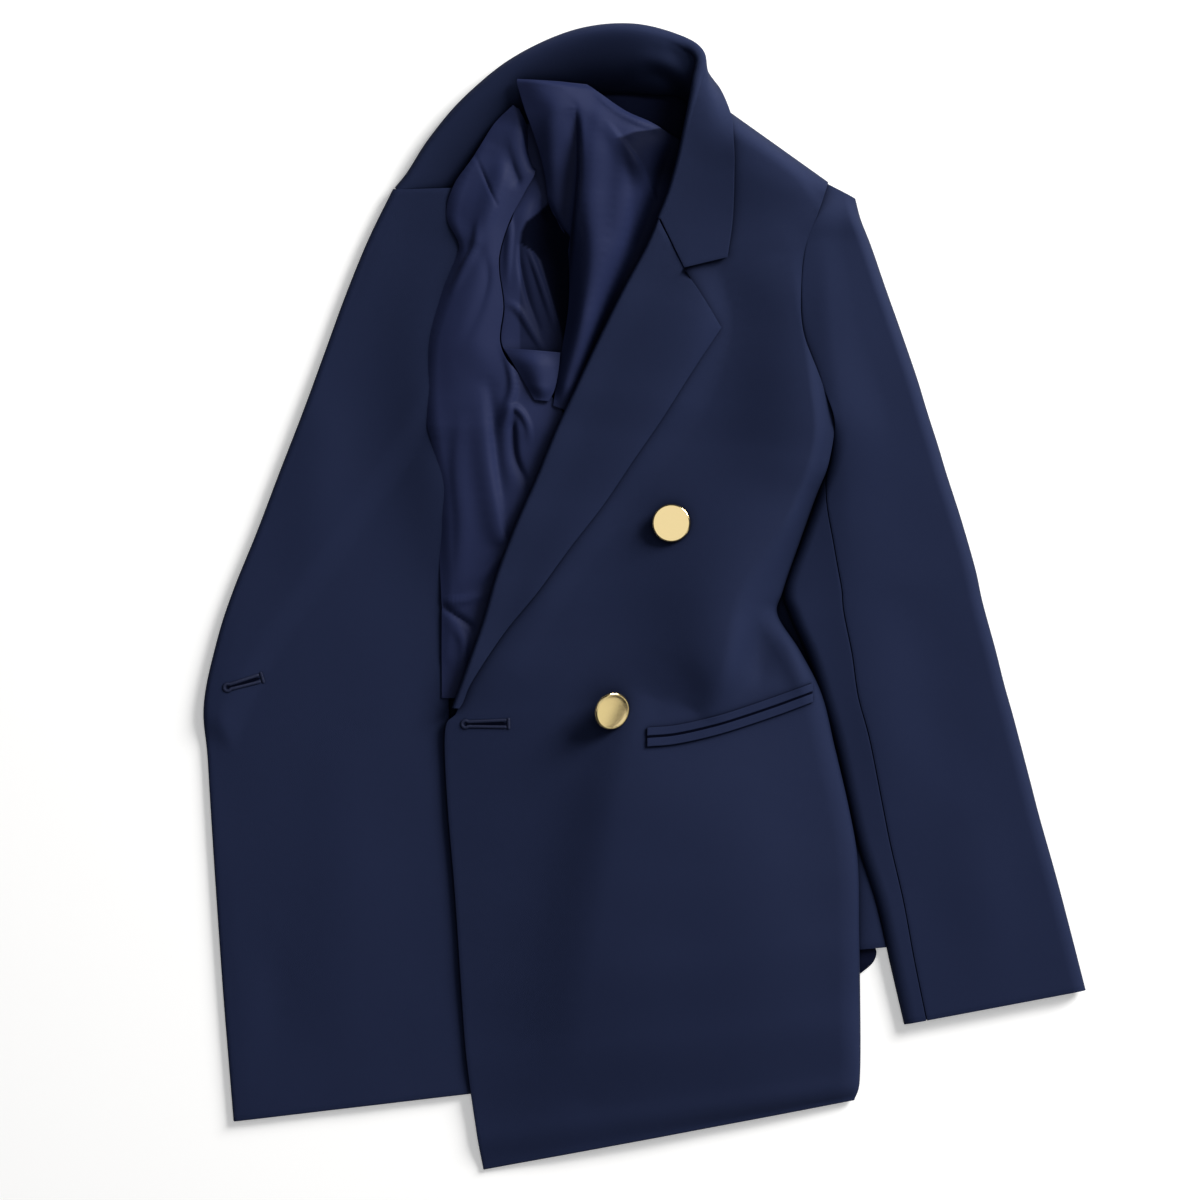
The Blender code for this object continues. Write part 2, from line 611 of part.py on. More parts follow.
# share of the height down from the top, and how far that level is set in from the edge
LAYER_EDGE = [(0.0, 5.0), (0.16, 1.0), (0.40, 0.2), (0.50, 2.6), (0.60, 0.4), (0.86, 0.8), (1.0, 3.0)]
CORE_STATIONS = [1.7, 2.1, 3, 4, 5, 6, 7, 8, 9, 10, 11, 12, 13, 14, 15, 16, 17, 18, 18.8, 19.25]
CORE_LEFT, CORE_RIGHT = 0.12, 0.90
CORE_COLUMNS = 7
CORE_UNDER_FRONT = 1.0      # gap between the front and the layers under it
CORE_OVER_BACK = 1.2        # gap between the back and the layers over it
CORE_LEAST = 1.2            # least height of the layers together
CORE_OVER_SLEEVE = {"margin": 24.0, "slope": 46.0}
CORE_RISE = [(17.0, 0.0), (19.0, BACK_RISE)]    # station: how high the back lifts the layers


def core_level(s, t, share):
    """Point under the left front, share of the way down from the front to the back."""
    x, y, top = FRONT.place(s, t)
    top -= CORE_UNDER_FRONT
    low = CLOTH + CORE_OVER_BACK + sleeve_hump(x, y, **CORE_OVER_SLEEVE)
    low = max(low, ramp(CORE_RISE, s) + CLOTH + REST)
    top = max(top, low + CORE_LEAST)
    return x, y, top + (low - top) * share


def core_place(s, around):
    """Ring: along the top, down the layered right edge, back along the floor, up the left."""
    top = CORE_COLUMNS
    edge = len(LAYER_EDGE)
    width = FRONT.width(s)
    k = around % (2 * (top + edge))
    side = 0
    if k >= top + edge:
        k -= top + edge
        side = 1
    if k < top:
        t = CORE_LEFT + (CORE_RIGHT - CORE_LEFT) * (k + 0.5) / top
        if side:
            t = CORE_LEFT + CORE_RIGHT - t
        return core_level(s, t, side)
    share, inset = LAYER_EDGE[k - top]
    inset = inset / width
    if side:
        return core_level(s, CORE_LEFT + inset, 1.0 - share)
    return core_level(s, CORE_RIGHT - inset, share)


def hidden_layers(mat):
    """Rounded solid under the left front for the layers that do not show."""
    around = list(range(2 * (CORE_COLUMNS + len(LAYER_EDGE)) + 1))
    bm = grid(core_place, CORE_STATIONS, around, around=True)
    ends = [e for e in bm.edges if e.is_boundary]
    bmesh.ops.holes_fill(bm, edges=ends)
    bmesh.ops.recalc_face_normals(bm, faces=bm.faces)
    add_object("hidden_layers", bm, mat)


# ---------------------------------------------------------------- left sleeve

# armhole to cuff: left x, y, right x, y, height at the left, height in the middle,
# where the forearm seam lies across, how far the left edge is turned under
SLEEVE_ROWS = [
    (127.7, 289, 147, 279, 7.8, 7.8, 0, 0), (120.7, 268, 151, 264, 19.2, 17.5, 0, 0),
    (112.7, 246, 158, 246, 19.8, 17.5, 0, 0), (108.7, 215, 168, 217, 19.8, 17, 0, 0),
    (110.7, 183, 179, 186, 19.2, 16, 0, 0), (123.7, 147, 190, 154, 18.8, 15, 0, 0),
    (131.7, 122, 197, 131, 17.5, 14, 0, 0), (127.7, 95, 205, 106, 14.5, 13.2, 0, 0.4),
    (119, 72, 211, 86, 12.8, 12.8, .08, 1), (107.2, 38, 221, 55, 12, 12.2, .21, 1),
    (96.4, 6, 231, 20, 11, 11.6, .30, 1), (101, -12, 236, -3, 11, 11.2, .28, 1),
    (113, -40, 245, -36, 10.8, 11, .24, 1), (122.7, -71, 251, -60, 10.4, 10.8, .205, 1),
    (131.7, -102, 258, -85, 10, 10.5, .20, 1), (142, -147, 269, -127, 9.8, 10.2, .19, 1),
    (149, -175, 276, -154, 9.6, 9.8, .18, 1), (163, -215, 287, -193, 9.2, 9.4, .15, 1),
    (172, -255, 297, -231, 8.6, 8.8, .136, 1), (181, -298, 308, -274, 8.2, 8.2, .126, 1),
]
SLEEVE_TURN = 15.0      # how far in the sleeve's rounded edges reach
SLEEVE_SOLE = 9.0       # how far in its lower side leaves the floor
SLEEVE_SIDE_Z = 3.9     # height of the sleeve's outermost line
HIND_SEAM = 0.87        # the hind-arm seam lies under the sleeve, this far across
HIND_LEAST = 9.0        # least distance of that seam from the sleeve's edge
NARROW_HEAD = [(20.0, 1.0), (60.0, 0.0)]    # sleeve width: how evenly its columns are spaced
SEAM_STEP = 2.5 * SEAM  # gap at the forearm and hind-arm seams, measured along the cloth
UNDER_LIP = [(1.0, 0.0), (1.3, 2.7), (2.0, 3.6)]    # its height standing up inside the armhole
SLEEVE_CROWN = 0.6      # share across where the sleeve reaches its middle height
SLEEVE_STATIONS = [0, .3, .7, 1, 2, 3, 4, 5, 6, 7, 7.5, 8, 9, 10, 11, 12, 13, 14, 15, 16, 17, 18, 19]


def sleeve_upper(s, c):
    """Point on the sleeve's upper side, c across from its left edge to its right edge."""
    lx, ly, rx, ry, left, middle, _, turned = read_rows(SLEEVE_ROWS, s)
    width = math.hypot(rx - lx, ry - ly)
    high = left + (middle - left) * ease(c / SLEEVE_CROWN)
    right = quarter((1.0 - c) * width / SLEEVE_TURN)
    under = 1.0 - turned * (1.0 - quarter(c * width / SLEEVE_TURN))
    z = SLEEVE_SIDE_Z + (high - SLEEVE_SIDE_Z) * right * under
    return lx + (rx - lx) * c, ly + (ry - ly) * c, z


def sleeve_lower(s, c):
    """Point on the sleeve's lower side, which lies on the floor between its rounded edges."""
    lx, ly, rx, ry, _, _, _, turned = read_rows(SLEEVE_ROWS, s)
    width = math.hypot(rx - lx, ry - ly)
    right = 1.0 - min(1.0, (1.0 - c) * width / SLEEVE_SOLE)
    left = turned * (1.0 - min(1.0, c * width / SLEEVE_SOLE))
    return lx + (rx - lx) * c, ly + (ry - ly) * c, SLEEVE_SIDE_Z * max(right, left) ** 2


def top_sleeve_place(s, t):
    """t: 0 forearm seam or armhole, 1 right edge, 2 hind-arm seam underneath."""
    row = read_rows(SLEEVE_ROWS, s)
    width, seam = math.hypot(row[2] - row[0], row[3] - row[1]), row[6]
    if t <= 1.0:
        narrow = ramp(NARROW_HEAD, width)
        share = math.sin(t * math.pi / 2) * (1.0 - narrow) + t * narrow
        return sleeve_upper(s, seam + (1.0 - seam) * share)
    return sleeve_lower(s, 1.0 - max(1.0 - HIND_SEAM, HIND_LEAST / width) * (t - 1.0) ** 1.2)


def under_sleeve_place(s, t):
    """t: 0 hind-arm seam, 1 left edge, 2 forearm seam, or inside the armhole near the head."""
    row = read_rows(SLEEVE_ROWS, s)
    seam, turned = row[6], row[7]
    width = math.hypot(row[2] - row[0], row[3] - row[1])
    if t <= 1.0:
        hind = min(HIND_SEAM, 1.0 - HIND_LEAST / width) - SEAM_STEP / width
        return sleeve_lower(s, hind * math.cos(t * math.pi / 2))
    wrap = sleeve_upper(s, max(seam - SEAM_STEP / width, 0.0) * (t - 1.0) ** 1.7)
    x, y, z = sleeve_lower(s, 0.0)
    lip = (x, y, z + ramp(UNDER_LIP, t))
    return [a + (b - a) * ease(turned) for a, b in zip(lip, wrap)]


def left_sleeve(mat):
    """Left sleeve: the top sleeve and the under sleeve that meets it along two seams."""
    top = [0, .1, .25, .42, .58, .72, .85, 1, 1.35, 1.65, 2]
    under = [0, .12, .3, .5, .7, .85, .945, 1, 1.3, 1.6, 2]
    cloth("left_top_sleeve", top_sleeve_place, SLEEVE_STATIONS, top, mat, SLEEVE_WALL)
    cloth("left_under_sleeve", under_sleeve_place, SLEEVE_STATIONS[3:], under, mat, SLEEVE_WALL)


# ---------------------------------------------------------------- linings

# hem end to neck: left border on the facing and stand, right border at the armhole
FRONT_LINING = Panel(
    edges=[
        (-142, -70, -129, -70), (-142, -36, -111, -36), (-142, -4, -97, -2),
        (-144, 40, -82, 42), (-144, 72, -70, 72), (-148, 105, -60, 104), (-152, 122, -55, 122),
        (-153, 140, -66, 141), (-153, 158, -88.5, 156), (-152, 180, -101, 177),
        (-147, 209, -99, 203), (-137, 230, -102, 228), (-129, 245, -101, 243),
        (-138, 266, -94, 264), (-133, 287, -84, 283), (-120, 306, -76, 300),
        (-105, 330, -80, 322), (-92, 343, -88, 340),
    ],
    heights=[
        (0, 4.5, 4.6, 4.6, 4.6), (2, 4.5, 5.6, 6.0, 5.4), (4, 4.6, 8.0, 9.5, 8.0),
        (6, 7.4, 11.0, 12.5, 10.2), (7, 7.6, 11.6, 12.0, 10.2), (9, 8.0, 12.5, 15.5, 14.0), (11, 8.0, 12.5, 15.0, 14.0),
        (13, 8.0, 12.0, 14.5, 13.0), (14, 8.8, 12.0, 14.5, 12.6), (15, 10.6, 12.8, 14.5, 12.0),
        (16, 13.0, 14.2, 14.8, 12.8), (17, 15.6, 15.8, 15.8, 15.4),
    ])
BACK_LINING = Panel(
    edges=[
        (-64, 134, -46, 127), (-61, 150, -36, 148), (-57, 175, -24, 174), (-53, 200, -12, 198),
        (-52, 225, 0, 223), (-54, 247, 9, 246), (-61, 262, 17, 266), (-67, 277, 23, 286),
        (-69, 292, 27, 304), (-72, 306, 26, 316), (-77, 322, 18, 322), (-83, 338, 4, 330),
        (-87, 351, -14, 338), (-89, 359, -31, 350), (-88.5, 362, -32, 354),
    ],
    heights=[
        (0, 12.0, 12.5, 12.0, 10.5, 9.5), (1, 11.0, 16.0, 14.5, 12.0, 10.5),
        (3, 11.0, 21.0, 18.0, 15.5, 12.5), (5, 11.0, 24.0, 21.0, 19.5, 14.5),
        (7, 13.0, 26.0, 23.0, 21.0, 15.5), (9, 16.0, 27.0, 25.0, 21.0, 15.0),
        (11, 20.0, 27.0, 26.0, 20.0, 13.5), (13, 21.0, 25.0, 24.0, 18.0, 13.0),
        (14, 18.2, 17.6, 15.6, 14.0, 12.4),
    ])
SLEEVE_LINING = Panel(
    edges=[
        (-90, 160, -56, 158), (-100.4, 178, -47, 178), (-98.2, 203, -45, 202),
        (-101.2, 228, -45, 227), (-100.2, 243, -46, 242), (-93.2, 264, -53, 264),
        (-84.6, 283, -60, 283), (-84, 302, -62, 302), (-86, 321, -66, 321),
    ],
    heights=[
        (0, 12.0, 8.5, 6.8, 6.5, 7.5), (1, 12.0, 9.5, 7.5, 6.2, 6.5), (2, 12.5, 11.0, 8.0, 6.0, 6.0),
        (3, 12.5, 12.5, 8.0, 5.8, 6.0), (4, 12.5, 12.3, 6.2, 5.8, 6.0), (5, 12.5, 12.3, 6.5, 6.0, 7.0),
        (6, 10.0, 10.0, 10.0, 9.5, 9.0), (8, 8.6, 8.8, 8.8, 8.6, 8.4),
    ])
LINING_FOLD = Panel(
    edges=[
        (-77, 138, -67, 137), (-83, 149, -63, 147), (-91.5, 163, -60.5, 160),
        (-98.5, 174, -59.2, 171),
    ],
    heights=[(0, 13.0, 13.6, 13.1), (1, 13.5, 17.0, 12.8), (2, 14.0, 18.0, 12.5),
             (3, 14.5, 15.5, 12.5)])
NECK_LINING = Panel(
    edges=[(-52, 316, 24, 300), (-50, 334, 31, 320), (-46, 353.2, 32, 350.5)],
    heights=[(0, 7.6, 8.0, 9.0), (1, 7.2, 7.6, 9.0), (2, 6.1, 6.6, 7.4)])
CUFF_LINING = Panel(
    edges=[(116, -260, 151, -262.5), (117, -253, 160, -254), (118, -246, 161, -244.5),
           (118, -236, 150, -234)],
    heights=[(0, 0.0, 1.6, 0.6), (1, 0.6, 2.2, 1.4), (2, 2.0, 2.6, 2.2), (3, 2.0, 2.4, 2.2)])


def linings(mat):
    """The lining pieces that show between the fronts, in the armhole and at the cuff."""
    across = [0, .06, .15, .27, .4, .55, .7, .84, .94, 1]
    short = [0, .12, .3, .5, .7, .88, 1]
    for name, panel, columns, extra in (
            ("front_lining", FRONT_LINING, across, 0), ("back_lining", BACK_LINING, across, 0),
            ("sleeve_lining", SLEEVE_LINING, short, 0), ("sleeve_lining_fold", LINING_FOLD, short, 1),
            ("neck_lining", NECK_LINING, short, 1), ("cuff_lining", CUFF_LINING, short, 0)):
        stations = steps(list(range(len(panel.edges))), extra)
        cloth(name, panel.place, stations, columns, mat, LINING)


# ---------------------------------------------------------------- pocket welts and buttons

# left to right: slit line x, y, reach of the upper welt, reach of the lower one
POCKET_ROWS = [
    (1, -96.5, 6.5, 6.8), (22, -94.5, 6.4, 6.8), (52, -87.5, 6.4, 7.0), (88, -76, 6.6, 7.0),
    (116.5, -65.5, 6.4, 7.0),
]
WELT_H = 1.3
WELT_REST = 0.4
SLIT = 0.5


def upper_welt_place(s, t):
    """Point on the underside of the upper welt, from the slit upwards."""
    x, y, reach, _ = read_rows(POCKET_ROWS, s)
    y += SLIT / 2 + (reach - SLIT / 2) * t
    return x, y, FRONT.top(x, y) + WELT_REST


def lower_welt_place(s, t):
    """Point on the underside of the lower welt, up to the slit."""
    x, y, _, reach = read_rows(POCKET_ROWS, s)
    y += -reach + (reach - SLIT / 2) * t
    return x, y, FRONT.top(x, y) + WELT_REST


def pocket_welts(mat):
    """The two welts of the jetted pocket."""
    stations = steps([0, 1, 2, 3], 2) + [3.25, 3.5, 3.7, 3.85, 4]
    for name, place in (("upper", upper_welt_place), ("lower", lower_welt_place)):
        cloth("pocket_welt_" + name, place, stations, [0, .5, 1], mat, WELT_H, side=-1.0)


BUTTONS = [
    # name, x, y, tilt in degrees about the garment's length, lift of the disc's underside
    ("button_upper", 18, 52, 0.0, 2.2),
    ("button_lower", -24, -78, 30.0, 6.7),
]
SHANK_R = 3.2
SHANK_H = 1.6
BUTTON_SIDES = 28
# distance from the button's axis, height over the disc's underside
BUTTON_PROFILE = [
    (0.0, BUTTON_H), (BUTTON_R - 1.6, BUTTON_H), (BUTTON_R - 0.5, BUTTON_H - 0.4),
    (BUTTON_R, BUTTON_H - 1.3), (BUTTON_R - 0.2, 1.0), (BUTTON_R - 1.4, 0.2),
    (SHANK_R, 0.0), (SHANK_R * 0.8, -SHANK_H), (0.0, -SHANK_H),
]


def button(name, x, y, tilt, lift, mat):
    """Flat disc with a rounded rim, turned about its axis, and its shank under it."""
    bm = bmesh.new()
    points = [bm.verts.new((r * MM, 0.0, z * MM)) for r, z in BUTTON_PROFILE]
    for a, b in zip(points, points[1:]):
        bm.edges.new((a, b))
    obj = add_object(name, bm, mat)
    screw = obj.modifiers.new("turn", "SCREW")
    screw.steps = BUTTON_SIDES
    screw.render_steps = BUTTON_SIDES
    screw.use_merge_vertices = True
    screw.merge_threshold = 0.00001
    obj.location = (x * MM, y * MM, (FRONT.top(x, y) + lift) * MM)
    obj.rotation_euler = (0.0, math.radians(tilt), 0.0)


# ---------------------------------------------------------------- the whole garment

def build():
    """Clear the scene and build every piece."""
    for obj in list(bpy.data.objects):
        bpy.data.objects.remove(obj, do_unlink=True)
    bpy.context.scene.collection.children.link(bpy.data.collections.new(COLLECTION))
    navy = material("navy_suiting", NAVY, 0.85)
    satin = material("navy_lining", NAVY_LINING, 0.45)
    gold = material("gold_metal", GOLD, 0.3, 1.0)
    left_front(navy)
    left_lapel(navy)
    right_sleeve(navy)
    right_lapel(navy)
    right_front(navy)
    right_facing(navy)
    collar(navy)
    back(navy)
    hidden_layers(navy)
    left_sleeve(navy)
    linings(satin)
    pocket_welts(navy)
    for name, x, y, tilt, lift in BUTTONS:
        button(name, x, y, tilt, lift, gold)


build()
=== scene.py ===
"""Double-breasted blazer laid flat on its back, with its right front opened out: its looks.

Tables are in millimetres, from the middle of the laid-out garment; meshes are made in metres.
The floor is z = 0, the hem points to -Y and the wearer's left sleeve lies at +X.
"""
import logging
import math
from dataclasses import dataclass, field
from enum import Enum
from typing import Callable, Sequence

import bmesh
import bpy
import numpy as np
from mathutils import Matrix, Vector

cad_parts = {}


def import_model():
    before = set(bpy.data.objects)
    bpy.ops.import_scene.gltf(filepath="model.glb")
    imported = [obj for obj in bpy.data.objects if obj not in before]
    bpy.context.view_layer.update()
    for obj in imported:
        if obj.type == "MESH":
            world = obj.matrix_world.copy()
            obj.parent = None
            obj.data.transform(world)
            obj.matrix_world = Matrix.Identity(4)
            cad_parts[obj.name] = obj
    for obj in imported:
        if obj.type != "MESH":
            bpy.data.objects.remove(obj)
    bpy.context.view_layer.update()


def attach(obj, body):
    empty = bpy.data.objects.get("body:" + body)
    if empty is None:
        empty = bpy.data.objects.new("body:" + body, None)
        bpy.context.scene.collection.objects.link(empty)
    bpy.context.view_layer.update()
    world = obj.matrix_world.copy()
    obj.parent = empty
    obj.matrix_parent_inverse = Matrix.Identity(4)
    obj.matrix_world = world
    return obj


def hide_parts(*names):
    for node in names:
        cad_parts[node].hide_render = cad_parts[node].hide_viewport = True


LOG = logging.getLogger("blazer")
Array = np.ndarray
Rows = Sequence[Sequence[float]]
Point = tuple[Array, Array, Array]                      # x, y and height
Place = Callable[[Array, Array], Point]                 # point at a station and a share across
Height = Callable[[Array, Array], Array]                # height over x, y
Rim = Callable[[Array, Array, Array], tuple[Array, Array]]

MM = 0.001
CLOTH = 1.8            # outer cloth with its interlining
LINING = 1.2           # lining with the seam allowances behind it
REST = 0.6             # gap between curved layers that lie on each other
UNDER_H = 2.4          # lapel and fall lying under the right front
SLEEVE_WALL = 2.1      # left sleeve, outer cloth and lining together
UNDER_SLEEVE_WALL = 1.4    # right sleeve, pressed flat under the body
NUDGE = 0.01           # step in station or share across for slopes
FLAT_ANGLE = 50.0      # an edge is rounded where its faces turn by more, in degrees
SLUB_BEND = 1.6        # how far uneven threads bend the twill line, in threads
TWILL_SHARE = 0.7      # the twill's part in the height of the weave
SPAN = np.linspace(-1.0, 1.0, 5)    # places across a strip, in half widths
WHITE = (1.0, 1.0, 1.0, 1.0)


# ------------ curves through table rows

def ease(u: Array) -> Array:
    """Soft step from 0 to 1."""
    u = np.clip(u, 0.0, 1.0)
    return u * u * (3.0 - 2.0 * u)


def quarter(u: Array) -> Array:
    """Quarter round from 0 to 1, steep at 0 and level at 1."""
    return np.sqrt(1.0 - (1.0 - np.clip(u, 0.0, 1.0)) ** 2)


def ramp(rows: Rows, u: Array) -> Array:
    """Value at u, eased from row to row.

    Args:
        rows: (u, value) rows.
        u: where to read.

    Returns:
        The values.
    """
    value = np.full(np.shape(u), float(rows[0][1]))
    for (u0, low), (u1, high) in zip(rows, rows[1:]):
        value = value + (high - low) * ease((u - u0) / (u1 - u0))
    return value


def between(left: Sequence[Array], right: Sequence[Array], t: Array) -> list[Array]:
    """Each column at share t of the way from left to right."""
    return [a + (b - a) * t for a, b in zip(left, right)]


def cubic(start: Array, step: Array, leave: Array, arrive: Array, f: Array) -> Array:
    """Smooth way from start to start + step.

    Args:
        start: where it starts.
        step: from its start to its end.
        leave: slope at its start.
        arrive: slope at its end.
        f: share of the way.

    Returns:
        The points.
    """
    bend = f * f * (3 * step - 2 * leave - arrive) + f ** 3 * (leave + arrive - 2 * step)
    return start + f * leave + bend


class Curve:
    """Smooth curve through the rows of a table; it may turn sharply at its corner rows."""

    def __init__(self, rows: Rows, corners: Sequence[int] = ()) -> None:
        """Keep the rows with the slopes at both ends of each space.

        Args:
            rows: points of any number of columns.
            corners: rows where the curve turns sharply.
        """
        knots = np.array(rows, float)
        self.last = len(knots) - 1
        self.start = knots[:-1]
        self.step = np.diff(knots, axis=0)
        self.leave = self.step.copy()
        self.arrive = self.step.copy()
        for i in range(1, self.last):
            if i not in corners:
                self.leave[i] = self.arrive[i - 1] = (knots[i + 1] - knots[i - 1]) / 2

    def at(self, u: Array) -> Array:
        """Columns of the point at station u.

        Args:
            u: stations.

        Returns:
            One array for each column of the table.
        """
        u = np.clip(np.asarray(u, float), 0.0, self.last)
        i = np.minimum(u.astype(int), self.last - 1)
        f = (u - i)[..., None]
        return np.moveaxis(cubic(self.start[i], self.step[i], self.leave[i], self.arrive[i], f), -1, 0)


class Heights:
    """Heights from rows of (station, heights at even steps across)."""

    def __init__(self, rows: Rows) -> None:
        """Keep the stations and the heights."""
        table = np.array(rows, float)
        self.stations, self.knots = table[:, 0], table[:, 1:]

    def at(self, s: Array, t: Array) -> Array:
        """Height at station s, share t across.

        Args:
            s: station.
            t: share across.

        Returns:
            The heights.
        """
        s = np.clip(s, self.stations[0], self.stations[-1])
        i = np.clip(np.searchsorted(self.stations, s, side="right") - 1, 0, len(self.stations) - 2)
        f = ease((s - self.stations[i]) / (self.stations[i + 1] - self.stations[i]))[..., None]
        knots = self.knots[i] * (1 - f) + self.knots[i + 1] * f
        last = self.knots.shape[1] - 1
        u = np.clip(t, 0.0, 1.0) * last
        j = np.minimum(u.astype(int), last - 1)

        def knot(k: Array) -> Array:
            """Height of knot k."""
            return np.take_along_axis(knots, np.clip(k, 0, last)[..., None], -1)[..., 0]

        a, b = knot(j), knot(j + 1)
        step = b - a
        leave = np.where(j > 0, (b - knot(j - 1)) / 2, step)
        arrive = np.where(j + 2 <= last, (knot(j + 2) - a) / 2, step)
        return cubic(a, step, leave, arrive, u - j)


# ------------ creases laid in

@dataclass(frozen=True)
class Crease:
    """A soft ridge or trough along a line.

    rows hold x, y, height (less than 0 for a trough), width on the line's left, width on its
    right, all in millimetres. The line is smooth through its rows.
    """

    rows: Rows
    fine: int = 6               # straight pieces from one row to the next
    blend: float = 2.0          # added to a squared distance where pieces are weighed up

    def lift(self, x: Array, y: Array) -> Array:
        """How far the cloth is moved up at the points (x, y).

        Args:
            x: places across.
            y: places along.

        Returns:
            The height it adds there.
        """
        last = len(self.rows) - 1
        line = Curve(self.rows).at(np.linspace(0, last, last * self.fine + 1))
        lift, total = np.zeros(x.shape), np.zeros(x.shape)
        for k in range(line.shape[1] - 1):
            a, b = line[:, k], line[:, k + 1]
            dx, dy = b[0] - a[0], b[1] - a[1]
            length = dx * dx + dy * dy
            f = np.clip(((x - a[0]) * dx + (y - a[1]) * dy) / length, 0.0, 1.0)
            ox, oy = x - a[0] - dx * f, y - a[1] - dy * f
            away = ox * ox + oy * oy
            left = ease(0.5 + 0.5 * (dx * oy - dy * ox) / np.sqrt(length * away + 1e-12))
            high, wide_l, wide_r = between(a[2:], b[2:], f)
            value = high * np.exp(-away / (wide_r + (wide_l - wide_r) * left) ** 2)
            share = (away + self.blend) ** -3
            lift = lift + value * share
            total = total + share
        return lift / total


def creased(*lines: Rows) -> tuple[Crease, ...]:
    """Creases along the given lines."""
    return tuple(Crease(tuple(rows)) for rows in lines)


def raised(z: Array, creases: Sequence[Crease], x: Array, y: Array,
           share: Array | float = 1.0) -> Array:
    """Heights z with the creases laid in.

    Args:
        z: the heights without them.
        creases: the creases.
        x: places across.
        y: places along.
        share: how much of their height they have.

    Returns:
        The heights.
    """
    for crease in creases:
        z = z + crease.lift(x, y) * share
    return z


@dataclass(frozen=True)
class Ripple:
    """Slow unevenness of cloth that lies loosely: waves of the given lengths and height."""

    height: float = 0.0
    lengths: tuple[float, ...] = (173.0, 97.0, 61.0)
    turn: float = 0.7           # direction of the first wave, in radians
    fan: float = 2.1            # turn from one wave to the next
    crest: float = 1.7          # length along a wave's crest, in its own lengths

    def lift(self, x: Array, y: Array) -> Array:
        """How far the cloth is moved up at the points (x, y).

        Args:
            x: places across.
            y: places along.

        Returns:
            The height it adds there.
        """
        total = np.zeros(np.shape(x))
        for k, length in enumerate(self.lengths):
            a = self.turn + self.fan * k
            along = (x * math.cos(a) + y * math.sin(a)) / length
            across = (y * math.cos(a) - x * math.sin(a)) / (self.crest * length)
            wave = np.sin(2 * math.pi * along + k) * np.cos(2 * math.pi * across + 2 * k)
            total = total + wave / (k + 1)
        return total * self.height


# ------------ panels

